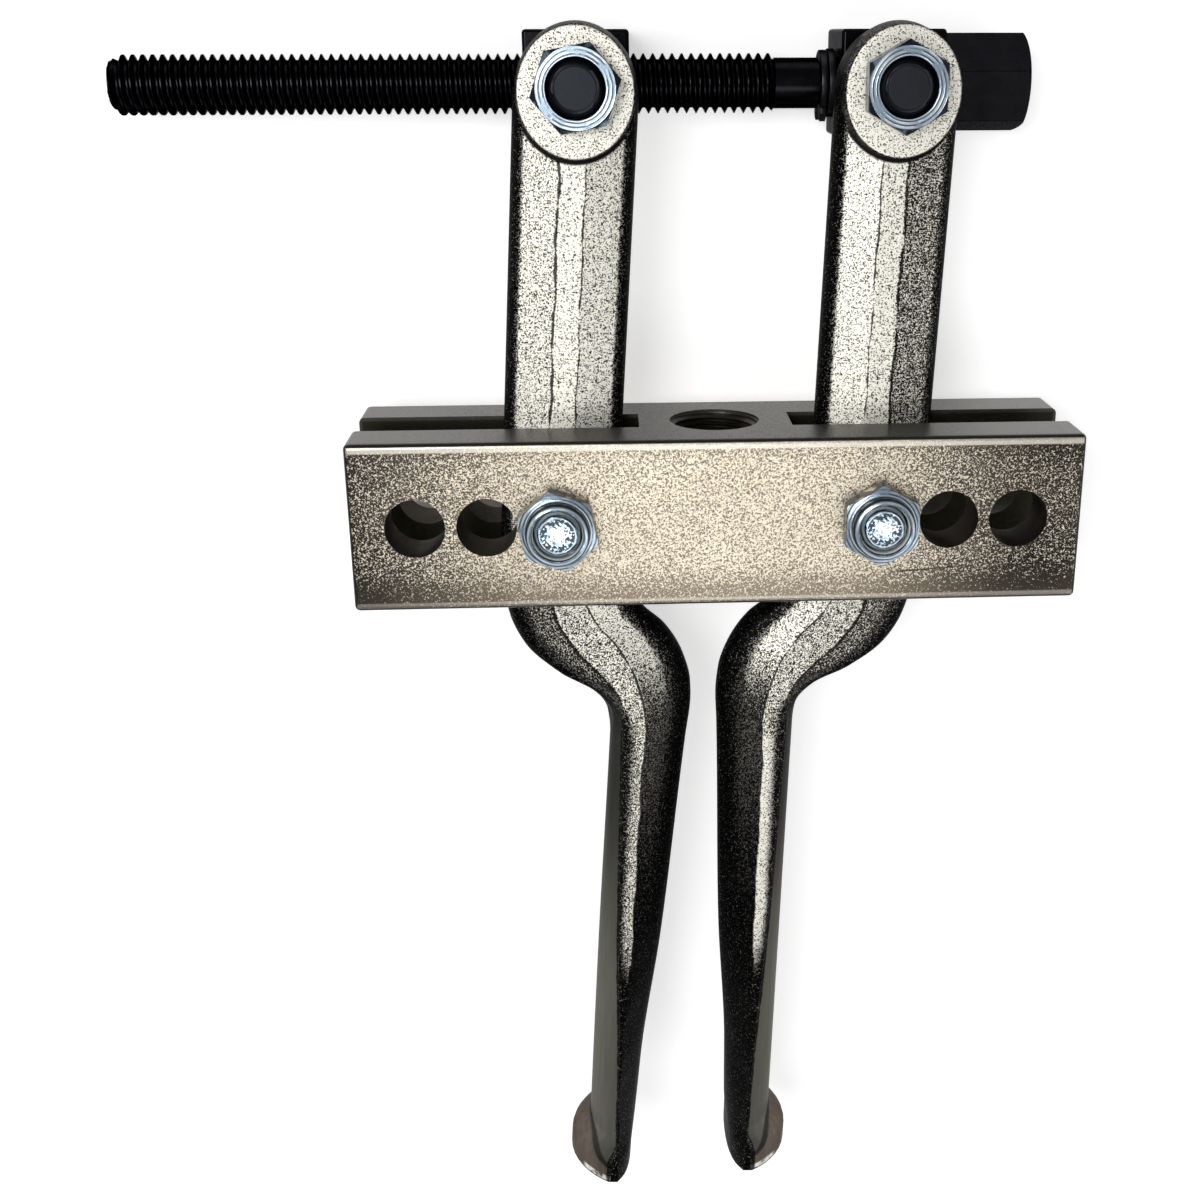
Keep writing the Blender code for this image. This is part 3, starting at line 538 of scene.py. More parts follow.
# %% Rings and threads
TOOTH = ((0.0, 0.0), (0.11, 0.0), (0.40, 0.93), (0.47, 1.0), (0.64, 1.0), (0.71, 0.93))  # (share, depth)
CHAMFER_FALL = 0.577  # slope of a nut's corners, 30 degrees
THROUGH = 0.06  # a cutter of this length passes through any piece
BEYOND = 0.001  # and a shorter one ends this far outside it


def thread(outer, pitch, low, high, low_radius=None, high_radius=None, depth=0.58):
    """Rings of a right-hand thread from high down to low, as functions of the turn."""
    root = outer - depth * pitch
    low_radius, high_radius = low_radius or root, high_radius or root

    def ring(number, share, deep):
        def at(turns):
            height = low + (number + share + turns) * pitch
            if height <= low:
                return low_radius, low
            if height >= high:
                return high_radius, high
            cone = min(low_radius + (height - low) * 1.2, high_radius + (high - height) * 1.2)
            return min(outer - deep * (outer - root), max(cone, root)), height
        return at
    count = int((high - low) / pitch) + 2
    rings = [ring(number, *tooth) for number in range(-1, count) for tooth in TOOTH]
    return rings[::-1]


def turned(rings, around=48):
    """Rings of (radius, height), or of functions of the turn, made into a mesh about Z."""
    bm = bmesh.new()
    grid = []
    for ring in rings:
        row = []
        for step in range(around + 1):
            radius, height = ring(step / around) if callable(ring) else ring
            angle = 2 * math.pi * step / around
            row.append(bm.verts.new((radius * math.cos(angle), radius * math.sin(angle), height)))
        grid.append(row)
    for upper, lower in zip(grid, grid[1:]):
        for step in range(around):
            bm.faces.new((upper[step], lower[step], lower[step + 1], upper[step + 1]))
    return mesh_of(clean(bm))


def rounded(centre, radius, start, end, steps=5):
    """Points of an arc about a centre, from one angle to another, in degrees."""
    turns = [math.radians(start + (end - start) * k / steps) for k in range(steps + 1)]
    return [(centre[0] + radius * math.cos(a), centre[1] + radius * math.sin(a)) for a in turns]


def hexagon(across, low, high):
    """A six-sided bar with a corner on +X."""
    bm = bmesh.new()
    place = Matrix.Translation((0, 0, (low + high) / 2)) @ spin("Z", 30)
    bmesh.ops.create_cone(bm, cap_ends=True, segments=6, radius1=across / math.sqrt(3),
                          radius2=across / math.sqrt(3), depth=high - low, matrix=place)
    return mesh_of(bm)


def lathe(operation, rings, around=48, place=Matrix()):
    """A step of carved whose tool is a turned shape."""
    return operation, turned(rings, around), place


def drill(radius, place):
    """A step of carved that drills right through, along the Z of a frame."""
    half = THROUGH / 2
    return lathe("DIFFERENCE", [(0, half), (radius, half), (radius, -half), (0, -half)], 64, place)


def nut_blank(across, low, high, top_rings, bottom_face, bore_rings):
    """A hexagon trimmed by a turned envelope, with a bore cut through it."""
    corner = across / math.sqrt(3) + BEYOND
    envelope = [(0, high), *top_rings, (corner, low + (corner - bottom_face) * CHAMFER_FALL),
                (bottom_face, low), (0, low)]
    return carved(hexagon(across, low - BEYOND, high + BEYOND),
                  [lathe("INTERSECT", envelope, 64), lathe("DIFFERENCE", bore_rings)], 0.00012, 28)


# %% [markdown]
# ## The crossbar
# One square bar: slotted from both ends for the arms, with three cross holes on each side for
# the pivots and a threaded hole in the middle for the forcing screw. The outer edges are
# rounded by a bevel, and after the cuts a second, much smaller bevel breaks the edges of the
# holes and the slots, because light catches there on the real bar.

# %% Crossbar
BAR_ROUND, BROKEN_EDGE = 0.0012, 0.00028
SLOT_END, SLOT_WIDTH = 0.017, 0.0126
CROSS_BORE, PIVOT_PITCH = 0.0130, 0.01539
CENTRE_BORE, CENTRE_DEPTH, CENTRE_PITCH = 0.0181, 0.0010, 0.0014


def block(size):
    """A plain box about the origin."""
    bm = bmesh.new()
    bmesh.ops.create_cube(bm, size=1.0)
    bmesh.ops.scale(bm, vec=size, verts=bm.verts)
    return mesh_of(bm)


def turned_inward(ring, middle):
    """An outer thread's ring mirrored in a cylinder, so that its crest points to the axis."""
    def at(turns):
        radius, height = ring(turns)
        return 2 * middle - radius, height
    return at


def build_crossbar():
    cuts = []
    for side, sign in SIDES.items():
        length = BAR[0] / 2 - SLOT_END + BEYOND
        cuts.append(("DIFFERENCE", block((length, THROUGH, SLOT_WIDTH)),
                     Matrix.Translation((sign * (SLOT_END + length / 2), 0, 0))))
        first = abs(PIVOT[side].x - BAR_MIDDLE.x)
        for index in range(3):
            cuts.append(drill(CROSS_BORE / 2,
                              Matrix.Translation((sign * (first + index * PIVOT_PITCH), 0, 0))))
    bore = CENTRE_BORE / 2 + CENTRE_DEPTH
    upright = spin("X", 90)
    cuts.append(drill(bore, upright))
    blank = carved(block(BAR), (), BAR_ROUND, 40, 4)
    bar = carved(carved(blank, cuts), (), BROKEN_EDGE, 50, 2)
    piece("crossbar_body", bar, NICKEL, standing(BAR_MIDDLE), "crossbar",
          ["crossbar"], 50, flats=True)
    half, wall, mouth = BAR[1] / 2 - BAR_ROUND / 2, bore + 0.0002, bore - 0.0001
    coil = [turned_inward(ring, bore - CENTRE_DEPTH / 2) for ring
            in thread(bore, CENTRE_PITCH, -half, half)]
    rings = [(wall, half), (mouth, half), *coil, (mouth, -half), (wall, -half), (wall, half)]
    piece("centre_thread", turned(rings, 64), NICKEL, standing(BAR_MIDDLE) @ upright, "crossbar")


build_crossbar()

# %% [markdown]
# ## The lever arms
# Each arm is one forging: an oval boss round the eye, a flat upper arm with a narrow ridge
# between two sloping faces, a knee under the crossbar, and a long leg whose outer side was
# turned so that its claw fits inside a round bore. It is lofted from sections along its
# length. The values of the sections run smoothly from one to the next, and the front half is
# mirrored at the parting plane, as the two halves of a forging die are.

# %% Sections of the forging
ARM_WIDTH, THICKNESS, RIDGE = 0.0264, 0.0120, 0.0055
KNEE, KNEE_OUT, KNEE_HEIGHT = -0.008, 0.0328, 0.0490
LEG, TOE = 0.0138, 0.0251
SEAT_RADIUS, LIP_REACH, LIP_RADIUS = 0.0190, 0.0045, 0.0186
SEAT_CENTRE = LEG + SEAT_RADIUS + 0.0002
EYE_BORE = 0.0132


def station(outer, inner, ridge, height, turned_side=0.0, side=0.0045, inner_side=0.0045,
            soft=0.003, inner_soft=0.003, radius=SEAT_RADIUS, centre=SEAT_CENTRE, steps=20):
    """One section, from the outer to the inner parting line, and the rows to the next one."""
    values = [*outer, *inner, *ridge, height, turned_side, side, inner_side, soft, inner_soft,
              radius, centre]
    return values, steps


def arm_stations():
    """Sections from the eye to the sole. The knee's own numbers count 49ths of its height."""
    u = KNEE_HEIGHT / 49
    half, flat, knee, out, leg, toe = ARM_WIDTH / 2, THICKNESS / 2, KNEE, KNEE_OUT, LEG, TOE
    middle = (0.5 - RIDGE / ARM_WIDTH / 2, 0.5 + RIDGE / ARM_WIDTH / 2)
    boss_end = EYE_PLACE - EYE_SIZE[1] / 2
    leg_top, sole = knee - KNEE_HEIGHT, -LEG_LENGTH
    rim = sole + LIP_RIM
    seat = rim + LIP_SLOPE
    lip_out = SEAT_CENTRE - SEAT_RADIUS - LIP_REACH
    edge = LIP_RIM / 10
    toe_height = flat + 10.3 * u
    lip = {"turned_side": 1.0, "inner_side": toe_height - 1.6 * u, "inner_soft": 2.6 * u,
           "centre": lip_out + LIP_RADIUS, "steps": 3}
    return [
        station((-half, EYE_PLACE), (half, EYE_PLACE), middle, flat, steps=2),
        station((-half, boss_end), (half, boss_end), middle, flat, steps=50),
        station((-half, knee), (half, knee), middle, flat, steps=8),
        station((-half + 0.7 * u, knee - 11 * u), (half + 2.6 * u, knee - 10 * u), (0.38, 0.62), flat),
        station((-half + 2.4 * u, knee - 19 * u), (out - 12.5 * u, knee - 16.5 * u), (0.36, 0.62),
                flat),
        station((-half + 6.4 * u, knee - 26.5 * u), (out - 6.8 * u, knee - 21.2 * u), (0.34, 0.62),
                flat + 0.6 * u, side=4.6 * u),
        station((u, knee - 32.8 * u), (out - 2.4 * u, knee - 28 * u), (0.33, 0.58),
                flat + 1.5 * u, side=5.2 * u, inner_side=4.2 * u),
        station((leg - 5.3 * u, knee - 36.9 * u), (out - 0.4 * u, knee - 34.5 * u), (0.28, 0.51),
                flat + 2.5 * u, 0.15, side=6 * u, inner_side=4 * u, soft=2.6 * u),
        station((leg - 0.7 * u, knee - 42.5 * u), (out, knee - 40 * u), (0.20, 0.45),
                flat + 3 * u, 0.6, side=6.6 * u, inner_side=3.8 * u, soft=2 * u),
        station((leg + 0.2 * u, leg_top), (out - 0.6 * u, leg_top), (0.14, 0.44), flat + 3.4 * u,
                1.0, inner_side=3.8 * u, steps=30),
        station((leg, (leg_top + seat) / 2), ((out + toe + u) / 2, (leg_top + seat) / 2),
                (0.25, 0.51), flat + 6 * u, 1.0, inner_side=4.6 * u, inner_soft=2.4 * u, steps=24),
        station((leg + 0.1 * u, seat + 20 * u), (toe + 1.4 * u, seat + 20 * u), (0.50, 0.54),
                flat + 8 * u, 1.0, inner_side=7.5 * u, inner_soft=2.4 * u, steps=16),
        station((SEAT_CENTRE - SEAT_RADIUS, seat), (toe + 0.5 * u, seat), (0.58, 0.62),
                flat + 8.6 * u, 1.0, inner_side=11.5 * u, inner_soft=2.6 * u, steps=6),
        station((lip_out, rim), (toe, rim), (0.68, 0.765), toe_height, radius=LIP_RADIUS, **lip),
        station((lip_out, sole + edge), (toe, sole + edge), (0.68, 0.765), toe_height,
                radius=LIP_RADIUS, **lip),
        station((lip_out + edge, sole), (toe - edge, sole), (0.68, 0.765), toe_height - edge,
                radius=LIP_RADIUS - edge, **lip),
    ]


# %% Rows between the sections
def tangent(before, after, first, second):
    """A slope that never carries the curve past its neighbours."""
    if first * second <= 0:
        return 0.0
    a, b = 2 * after + before, after + 2 * before
    return (a + b) / (a / first + b / second)


def smooth_rows(stations):
    keys = [values for values, _ in stations]
    middles = [((row[0] + row[2]) / 2, (row[1] + row[3]) / 2) for row in keys]
    gaps = [math.dist(a, b) for a, b in zip(middles, middles[1:])]
    rises = [[(q - p) / gap for p, q in zip(a, b)] for a, b, gap in zip(keys, keys[1:], gaps)]
    slopes = [rises[0]]
    for i in range(1, len(keys) - 1):
        slopes.append([tangent(gaps[i - 1], gaps[i], p, q) for p, q in zip(rises[i - 1], rises[i])])
    slopes.append(rises[-1])
    rows = []
    for i, gap in enumerate(gaps):
        for step in range(stations[i][1]):
            t = step / stations[i][1]
            start, end = (1 + 2 * t) * (1 - t) ** 2, t * t * (3 - 2 * t)
            lead, trail = gap * t * (1 - t) ** 2, gap * t * t * (t - 1)
            rows.append([start * a + end * b + lead * m + trail * n for a, b, m, n
                         in zip(keys[i], keys[i + 1], slopes[i], slopes[i + 1])])
    rows.append(keys[-1])
    return rows


# %% [markdown]
# ### One row of the loft
# Half a section has 24 points here, more than in the CAD part: seven along each rounded side,
# and the rest on the sloping faces and the ridge. The ridge's two edges wander a little, as a
# worn die leaves them. Each point also keeps how much of a ragged line it carries.

# %% One row of the loft
SHARES = ((0, 0.0), (30, 0.34), (60, 0.62), (90, 0.84))  # (degrees round the side, share)
FIRST_EDGE = ((0.00020, 290, 0), (0.00009, 810, 1))  # (size, rate, shift) of each wave
SECOND_EDGE = ((0.00016, 350, 2), (0.00007, 930, 0))
EDGE_WIDTH = 0.0005


def wander(y, waves):
    """How far an edge strays at a place along the arm."""
    return sum(size * math.sin(rate * y + shift) for size, rate, shift in waves)


def arc_share(angle):
    """Where a point of the rounded side goes on the turned side: 0 at the parting line, 1 on top."""
    for (a, low), (b, high) in zip(SHARES, SHARES[1:]):
        if angle <= b:
            return low + (high - low) * (angle - a) / (b - a)
    return 1.0


def row_points(row):
    """(across, up, line, turned, ridge, outer side) for each point of a row, and its frame."""
    (outer_x, outer_y, inner_x, inner_y, ridge_from, ridge_to, height, turned_side, side,
     inner_side, soft, inner_soft, radius, centre) = row
    outer, inner = Vector((outer_x, outer_y, 0)), Vector((inner_x, inner_y, 0))
    width = (inner - outer).length
    y = (outer_y + inner_y) / 2
    start = ridge_from * width + wander(y, FIRST_EDGE)

    def mixed(across, up, share):
        reach = height * share
        arc = centre - math.sqrt(max(radius ** 2 - reach ** 2, 0)) - outer_x
        return across + turned_side * (arc - across), up + turned_side * (reach - up)

    points = []
    for angle in range(0, 91, 15):
        a = math.radians(angle)
        at = mixed(soft * (1 - math.cos(a)), side * math.sin(a), arc_share(angle))
        points.append([*(at if angle else (0, 0)), 0, turned_side, 0, 1])
    for share in (0.33, 0.60, 0.88 - 0.14 * turned_side):
        at = mixed(soft + (start - soft) * share, side + (height - side) * share,
                   0.84 + 0.16 * share)
        points.append([*at, 0, turned_side, 0, 1])
    edge = mixed(start, height, 1.0)
    points.append([*edge, 1, turned_side, 0, 1])
    end = max(ridge_to * width + wander(y, SECOND_EDGE), edge[0] + RIDGE / 20)
    room = min((end - edge[0]) / 3, EDGE_WIDTH)
    points.append([edge[0] + room, height, 0, 0, 1, 0])
    points.append([end - room, height, 0, 0, 1, 0])
    points.append([end, height, 0.8, 0, 0, 0])
    inner_edge = width - inner_soft
    for share in (0.07, 0.34, 0.67):
        points.append([end + (inner_edge - end) * share, height + (inner_side - height) * share,
                       0, 0, 0, 0])
    fall = (height - inner_side) / (inner_edge - end) * inner_soft
    knee_up = max(inner_side - fall, inner_side * 0.35)
    for step in range(7):
        t = step / 6
        points.append([inner_edge + inner_soft * t * (2 - t),
                       (1 - t) ** 2 * inner_side + 2 * t * (1 - t) * knee_up, 0, 0, 0, 0])
    return points, outer, (inner - outer) / width


def facet_shade_share(side, along, ridge, outside):
    """How much shade is painted on a facet: outside the knees, and on the right arm's outer facet. Below
    0 it paints light.
    """
    if along < KNEE:
        return 1.25 * outside - 0.85 * ridge * (side == "right" and along < KNEE - KNEE_HEIGHT)
    return (outside or 0.35 * ridge - 0.2) * (side == "right")


def arm_blank(side):
    """The loft of one arm, and its numbers at each point."""
    inward = -SIDES[side]
    bm = bmesh.new()
    stored, rows = [], []
    for row in smooth_rows(arm_stations()):
        points, outer, along = row_points(row)
        line = []
        for across, up, ridge_line, smooth, ridge, outside in points:
            place = outer + along * across
            place = Vector((place.x * inward, place.y, up))
            line.append(bm.verts.new(place))
            stored.append((place, {
                "ridge_line": ridge_line, "turned": smooth, "ridge": ridge,
                "inset": min(across, points[-1][0] - across),
                "facet_shade": facet_shade_share(side, place.y, ridge, outside)}))
        rows.append(line)
    for upper, lower in zip(rows, rows[1:]):
        for i in range(len(upper) - 1):
            bm.faces.new((upper[i], lower[i], lower[i + 1], upper[i + 1]))
    bm.faces.new(rows[0])
    bm.faces.new(list(reversed(rows[-1])))
    bmesh.ops.mirror(bm, geom=bm.faces[:] + bm.edges[:] + bm.verts[:], merge_dist=0.000005, axis="Z")
    return mesh_of(clean(bm)), stored


def eye_boss():
    """The proud oval round the eye, a little wider at the parting plane than on its faces."""
    half, face, soft, draft = EYE_DEPTH / 2, EYE_SIZE[0] / 2, 0.0006, 0.0006
    rings = [(0, half), *rounded((face - soft, half - soft), soft, 90, 20), (face + draft, 0),
             *rounded((face - soft, soft - half), soft, -20, -90), (0, -half)]
    mesh = turned(rings, 96)
    mesh.transform(Matrix.Diagonal((1, EYE_SIZE[1] / EYE_SIZE[0], 1, 1)))
    return mesh


ON_LOFT = 0.0004  # a point that is further from the loft than this lies on a cut or on the boss


def build_arm(side):
    mesh, stored = arm_blank(side)
    up = Matrix.Translation((0, TO_EYE, 0))
    mesh = carved(mesh, [("UNION", eye_boss(), Matrix.Translation((0, EYE_PLACE, 0))),
                         drill(CROSS_BORE / 2, Matrix()), drill(EYE_BORE / 2, up)])
    tree = KDTree(len(stored))
    for index, (place, _) in enumerate(stored):
        tree.insert(place, index)
    tree.balance()
    names = ("ridge_line", "turned", "ridge", "inset", "facet_shade", "across", "along")
    for name in names:
        mesh.attributes.new(name, "FLOAT", "POINT")
    for point in mesh.vertices:
        place = Vector((point.co.x, point.co.y, abs(point.co.z)))
        _, index, away = tree.find(place)
        numbers = dict(stored[index][1], across=point.co.x, along=point.co.y)
        if away > ON_LOFT or point.co.y > TO_EYE - EYE_SIZE[1] / 2 - 0.0015:
            numbers["ridge_line"] = 0.0
        for name in names:
            mesh.attributes[name].data[point.index].value = numbers[name]
    piece("forging_" + side, mesh, FORGED, arm_frame(side), "arm_" + side,
          ["arm_" + side], 30)


for arm_side in SIDES:
    build_arm(arm_side)

# %% [markdown]
# ## Pivot bolts and lock nuts
# A shoulder bolt comes through from the back, and the arm turns on its shoulder. In front is
# a lock nut: a hexagon, then a collar rolled over a nylon ring that grips the thread.


# %% Pivot bolts and lock nuts
GAP = 0.0003  # the CAD part's gap beside every pin and face
FINE_PITCH = 0.0015
BOLT, SHOULDER, BOLT_END = 0.0050, 0.0062, 0.0067
HEAD_ACROSS, HEAD_HEIGHT = 0.019, 0.010
LOCKNUT_ACROSS, LOCKNUT_HEX, LOCKNUT_HEIGHT = 0.016, 0.0046, 0.0072
COLLAR, ROLL, LIP, POCKET = 0.0069, 0.0013, 0.0055, 0.0062


def build_pivot(side, turn):
    place = standing(PIVOT[side])
    front = BAR[2] / 2
    end, back = front + BOLT_END, -front - GAP
    bottom = back - HEAD_HEIGHT
    dome = [(0, back + BEYOND), (0.0125, back + BEYOND), (0.0125, bottom + 0.0017), (0.0092, bottom),
            (0, bottom)]
    head = carved(hexagon(HEAD_ACROSS, bottom, back), [lathe("INTERSECT", dome, 64)], 0.0003, 28)
    rings = [(0, end), (0.0037, end), *thread(BOLT, FINE_PITCH, front, end, None, 0.0040, 0.5),
             (BOLT, front), (SHOULDER, front - GAP), (SHOULDER, back - BEYOND), (0, back - BEYOND)]
    bolt = carved(head, [lathe("UNION", rings)])
    piece("shoulder_bolt_" + side, bolt, BRIGHT_ZINC, place, "crossbar",
          ["pivot_bolt_" + side], flats=True)

    seat = front + GAP
    collar, top = seat + LOCKNUT_HEX, seat + LOCKNUT_HEIGHT
    top_rings = [*rounded((COLLAR - ROLL, top - ROLL), ROLL, 90, 0, 6), (COLLAR, collar + 0.0003),
                 (COLLAR + 0.0002, collar + 0.00005), (0.0078, collar - 0.0002),
                 (0.0103, collar - 0.0017)]
    wall = BOLT + GAP
    bore = [(0, top + BEYOND), (LIP + 0.0004, top + BEYOND), (LIP + 0.0002, top), (LIP, top - 0.0003),
            (LIP, top - 0.0007), (POCKET, top - 0.0007), (POCKET, top - 0.0029), (wall, top - 0.0029),
            (wall, seat - BEYOND), (0, seat - BEYOND)]
    nut = nut_blank(LOCKNUT_ACROSS, seat, top, top_rings, 0.00776, bore)
    piece("lock_nut_" + side, nut, BRIGHT_ZINC, place @ spin("Z", turn), "crossbar",
          ["pivot_nut_" + side], 40, flats=True)
    high, low, outer, soft = top - 0.0010, top - 0.0026, POCKET - GAP, 0.0003
    ring = [(wall, high - 0.0002), *rounded((wall + soft, high - soft), soft, 180, 90, 3),
            (outer, high - 0.0002), (outer, low), (wall, low), (wall, high - 0.0002)]
    piece("nylon_ring_" + side, turned(ring, 64), NYLON, place, "crossbar",
          ["nut_insert_" + side])


build_pivot("left", 42)
build_pivot("right", 30)

# %% [markdown]
# ## Swivel blocks and jam nuts
# Behind each eye is a black square block with a stud that passes through the eye. The left
# block is threaded for the spindle and the right one carries its plain end, so both can turn
# with the arms. A thin nut in front keeps each stud from pulling out.

# %% Swivel blocks and jam nuts
BLOCK, BLOCK_ROUND = 0.0227, 0.0008
BLOCK_OUT = {"left": 0.0, "right": 0.0007}  # along the spindle, from the eye's axis
BLOCK_BORE = {"left": 0.0068, "right": 0.0057}
STUD, STUD_THREAD, STUD_ROUND = 0.0063, 0.00555, 0.0003
JAM_ACROSS, JAM_HEIGHT = 0.0164, 0.0051
BLOCK_FRONT = -EYE_DEPTH / 2 - GAP
JAM_SEAT = EYE_DEPTH / 2 + GAP
JAM_TOP = JAM_SEAT + JAM_HEIGHT


def build_eye(side, turn):
    place = standing(EYE[side], SPINDLE_TURN)
    middle = Matrix.Translation((BLOCK_OUT[side], 0, BLOCK_FRONT - BLOCK / 2))
    shape = carved(block((BLOCK,) * 3), (), BLOCK_ROUND, 40, 4)
    shape.transform(middle)
    rings = [(0, JAM_TOP), *rounded((0.0041, JAM_TOP - STUD_ROUND), STUD_ROUND, 90, 30, 3),
             *thread(STUD_THREAD, FINE_PITCH, EYE_DEPTH / 2, JAM_TOP - 0.0001, None, 0.0045, 0.45),
             (STUD, EYE_DEPTH / 2 - GAP), (STUD, BLOCK_FRONT - BEYOND), (0, BLOCK_FRONT - BEYOND)]
    across = middle @ spin("Y", 90)
    shape = carved(shape, [lathe("UNION", rings), drill(BLOCK_BORE[side], across)])
    made = piece("block_and_stud_" + side, shape, OXIDE, place, "block_" + side,
                 ["swivel_block_" + side], flats=True)
    made.data.materials.append(STUD_END)
    for face in made.data.polygons:
        if face.center.z > JAM_SEAT:
            face.material_index = 1
    envelope = [(0.00815, JAM_TOP), (0.0106, JAM_TOP - 0.00141)]
    wall = STUD_THREAD + 0.0001
    cut = [(0, JAM_TOP + BEYOND), (0.0072, JAM_TOP + BEYOND), (0.0062, JAM_TOP), (wall, JAM_TOP - 0.0008),
           (wall, JAM_SEAT - BEYOND), (0, JAM_SEAT - BEYOND)]
    nut = nut_blank(JAM_ACROSS, JAM_SEAT, JAM_TOP, envelope, 0.00795, cut)
    piece("thin_nut_" + side, nut, ZINC, standing(EYE[side], math.radians(turn)), "block_" + side,
          ["jam_nut_" + side], 40, flats=True)


build_eye("left", 10.8)
build_eye("right", 30.0)

# %% [markdown]
# ## The spindle
# A half inch rod with twelve threads an inch, a plain shank, and a hexagon for a spanner in
# one piece with it. A snap ring in its groove and a washer keep it in the right block.

# %% Spindle, snap ring and washer
SPINDLE_OUTER, SHANK, GROOVE = 0.00635, 0.0054, 0.0047
SHANK_LENGTH, THREAD_LENGTH, PITCH = 0.0250, 0.1430, 0.0254 / 12
SPINDLE_ACROSS, SPINDLE_HEAD, HEAD_ROUND = 0.0190, 0.0193, 0.0034
WASHER, WASHER_THICK, WASHER_ROUND = 0.0073, 0.0016, 0.0002
CLIP_THICK, CLIP_WIDTH, CLIP_LUG, CLIP_GAP = 0.0014, 0.0019, 0.0035, 22.0  # the gap in degrees


def build_spindle():
    head = BLOCK_OUT["right"] + BLOCK / 2 + GAP
    washer = BLOCK_OUT["right"] - BLOCK / 2 - GAP - WASHER_THICK
    clip = washer - GAP - CLIP_THICK
    start = -SHANK_LENGTH
    tip = start - THREAD_LENGTH
    rings = [(0, head + BEYOND), (SHANK, head + BEYOND), (SHANK, washer), (GROOVE, washer),
             (GROOVE, clip - GAP), (SHANK, clip - GAP), (SHANK, start + BEYOND),
             *thread(SPINDLE_OUTER, PITCH, tip, start + 0.0008, 0.0046, SHANK), (0, tip)]
    piece("spindle_thread", turned(rings), OXIDE, SPINDLE_FRAME, "spindle",
          ["spindle"])
    end, corner = head + SPINDLE_HEAD, SPINDLE_ACROSS / math.sqrt(3) + BEYOND
    dome = [(0, end), *rounded((corner - HEAD_ROUND, end - HEAD_ROUND), HEAD_ROUND, 90, 0, 8),
            (corner, head), (0, head)]
    hexa = carved(hexagon(SPINDLE_ACROSS, head - BEYOND, end + BEYOND),
                  [lathe("INTERSECT", dome, 96)], 0.0004, 28, 3)
    piece("spindle_hexagon", hexa, OXIDE, SPINDLE_FRAME @ spin("Z", 46), "spindle",
          flats=True)
    inner, middle = SHANK + GAP, WASHER - WASHER_ROUND
    top = washer + WASHER_THICK
    ring = [(inner, top), *rounded((middle, top - WASHER_ROUND), WASHER_ROUND, 90, 0, 3),
            *rounded((middle, washer + WASHER_ROUND), WASHER_ROUND, 0, -90, 3),
            (inner, washer), (inner, top)]
    piece("washer", turned(ring, 64), SPRING, SPINDLE_FRAME, "spindle",
          ["thrust_washer"])
    build_snap_ring(clip + CLIP_THICK / 2, GROOVE + GAP)


def build_snap_ring(height, inner):
    """An open ring of flat spring steel with a drilled lug at each end."""
    curve = bpy.data.curves.new("snap_ring", "CURVE")
    curve.dimensions, curve.fill_mode = "2D", "BOTH"
    soft, hole, steps = 0.00012, 0.0005, 60
    curve.extrude, curve.bevel_depth, curve.bevel_resolution = CLIP_THICK / 2 - soft, soft, 1
    outer, lug = inner + CLIP_WIDTH, inner + CLIP_LUG
    lug_turn = CLIP_GAP + math.degrees(CLIP_WIDTH / outer)
    lug_middle, foot = (CLIP_GAP + lug_turn) / 2, lug_turn + 4
    outline = [(lug, CLIP_GAP), (lug, lug_middle), (lug - hole, lug_turn)]
    outline += [(outer, foot + (360 - 2 * foot) * k / steps) for k in range(steps + 1)]
    outline += [(lug - hole, -lug_turn), (lug, -lug_middle), (lug, -CLIP_GAP)]
    outline += [(inner, -CLIP_GAP - (360 - 2 * CLIP_GAP) * k / steps) for k in range(steps + 1)]
    loops = [[(r * math.cos(math.radians(a)), r * math.sin(math.radians(a))) for r, a in outline]]
    for sign in (-1, 1):
        turn = Matrix.Rotation(math.radians(sign * lug_middle), 2)
        loops.append([turn @ Vector(at) for at in rounded((lug - 0.0012, 0), hole, 0, 337.5, 15)])
    for loop in loops:
        spline = curve.splines.new("POLY")
        spline.points.add(len(loop) - 1)
        for point, (x, y) in zip(spline.points, loop):
            point.co = (x, y, 0, 1)
        spline.use_cyclic_u = True
    guide = bpy.data.objects.new("guide", curve)
    bm = bmesh.new()
    bm.from_mesh(bpy.data.meshes.new_from_object(guide))
    bpy.data.objects.remove(guide)
    mesh = mesh_of(clean(bm))
    place = SPINDLE_FRAME @ Matrix.Translation((0, 0, height)) @ spin("Z", -90)
    piece("snap_ring", mesh, SPRING, place, "spindle", ["retaining_ring"])


build_spindle()

# %% [markdown]
# ## Floor and light
# The part lies on a white floor. A large soft lamp above and to the left gives each metal
# face its own brightness, a weaker one fills the other side, and a small one near the camera
# is what the middle of the crossbar mirrors. The pale world fills the rest. Floor and world
# are white for the camera and in reflections only, so the light on the part stays plain and
# the floor keeps its shadow. The floor's own light leaves out a patch under the crossbar, so
# that the slots look down into the dark, and it grows with distance, up to a white horizon.


# %% Floor, world and lamps
class Sky(Finish):
    """The world's background, written in the same way as a material."""

    def __init__(self, name):
        self.world = bpy.data.worlds.new(name)
        self.world.use_nodes = True
        self.tree = self.world.node_tree
        self.shader = self.tree.nodes["Background"]
        self.coordinates = self.node("ShaderNodeTexCoord", output="Generated")


FLOOR_SIZE, FLOOR_DROP = 3.0, 0.0004
PATCH = ((0.078, 0.070), (0.025, 0.020))  # from its middle: where it begins and where it is full
PATCH_BELOW = 0.010  # from the crossbar's middle


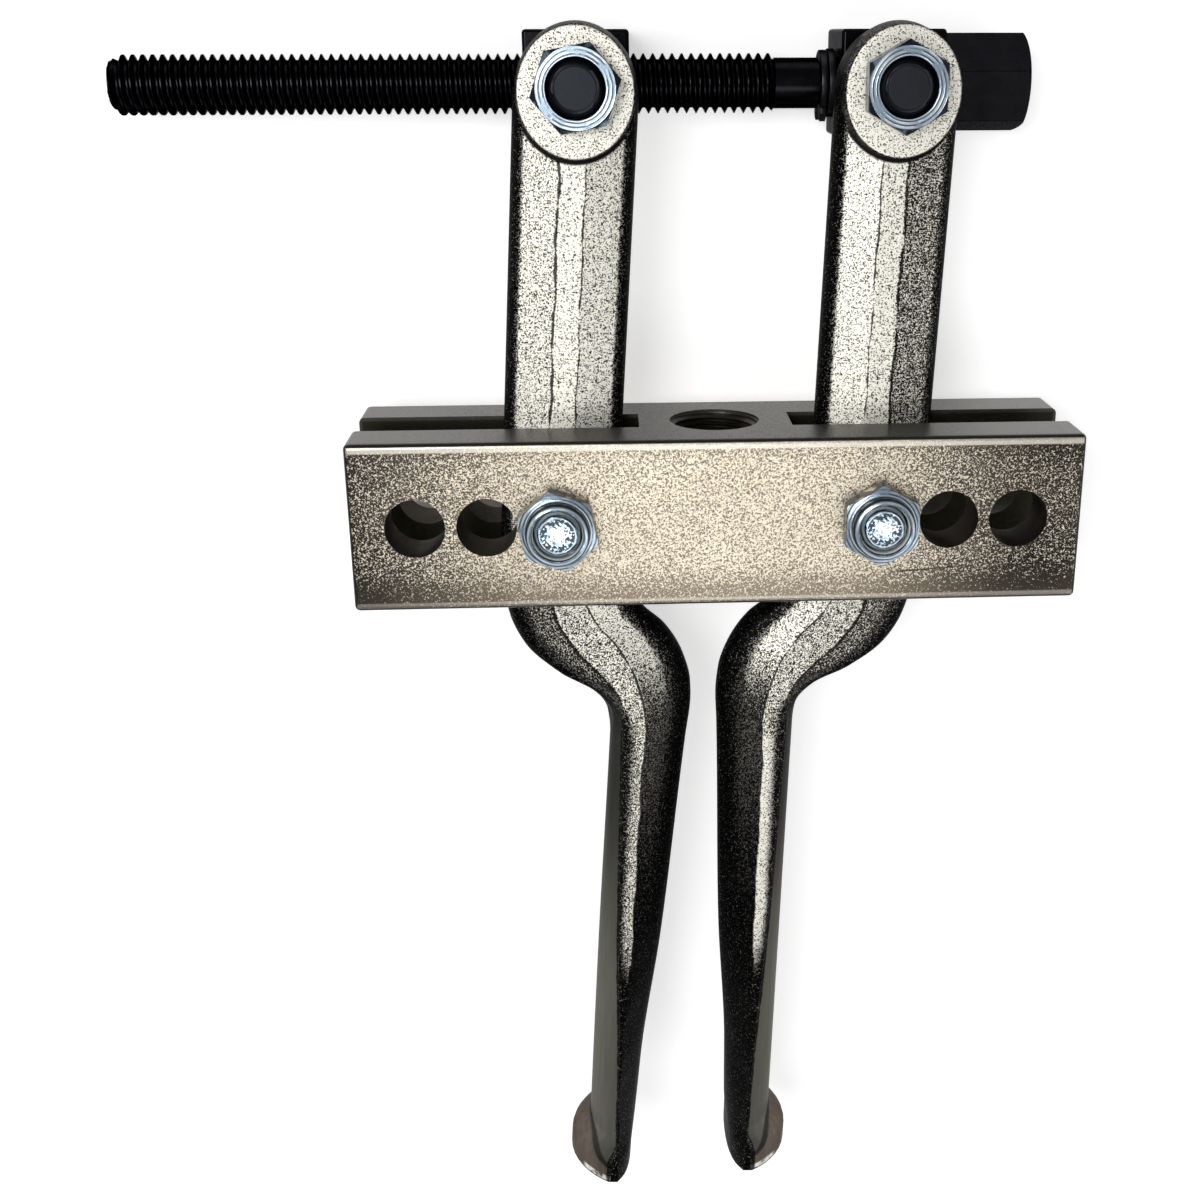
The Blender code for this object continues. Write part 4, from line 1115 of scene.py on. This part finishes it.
def build_stage():
    bm = bmesh.new()
    bmesh.ops.create_grid(bm, x_segments=1, y_segments=1, size=FLOOR_SIZE)
    floor = in_scene("floor", mesh_of(bm))
    floor.location.z = -FLOOR_DROP
    white = Finish("floor_white", 0.0)
    white.write("Base Color", (0.82, 0.82, 0.82, 1))
    white.write("Roughness", 0.9)
    white.write("Specular IOR Level", 0.0)
    seen = white.rays("Is Camera Ray", "Is Glossy Ray", "Is Transmission Ray")
    x, y = [abs(white.part(white.coordinates, axis) - middle) for axis, middle in
            enumerate((BAR_MIDDLE.x, BAR_MIDDLE.y - PATCH_BELOW))]
    under = x.rise(*PATCH[0]) * y.rise(*PATCH[1])
    far = ((x * x + y * y) ** 0.5).rise(0.30, 1.70)
    glow = white.mix(far, (0.55, 0.55, 0.55), (1, 1, 1))
    white.write("Emission Color", white.mix(seen * (1 - under), (0, 0, 0), glow))
    white.write("Emission Strength", 1.0)
    floor.data.materials.append(white.material)
    sky = Sky("pale_world")
    low = sky.part(sky.coordinates, 2).rise(0.34, 0.24)
    seen = sky.rays("Is Camera Ray") + low * sky.rays("Is Glossy Ray", "Is Transmission Ray")
    sky.write("Color", sky.mix(seen, (0.24, 0.24, 0.24), (1, 1, 1)))
    bpy.context.scene.world = sky.world


def lamp(name, place, aim, size, power):
    data = bpy.data.lights.new(name, "AREA")
    data.shape, data.size, data.energy = "DISK", size, power
    made = in_scene(name, data)
    made.location = place
    made.rotation_euler = (Vector(aim) - Vector(place)).to_track_quat("-Z", "Y").to_euler()
    made.visible_camera = False


build_stage()
lamp("key", (-0.32, 0.28, 1.0), (0.0, 0.0, 0.03), 0.45, 5.0)
lamp("fill", (0.75, -0.55, 0.9), (0.0, 0.0, 0.03), 0.8, 2.2)
lamp("small_lamp", BAR_MIDDLE + Vector((0.020, -0.115, 0.43)), BAR_MIDDLE, 0.18, 0.27)

# %% [markdown]
# ## The last update
# The dressed part must stay inside the CAD part's box. This cell only updates the scene.

# %% Update the scene
bpy.context.view_layer.update()
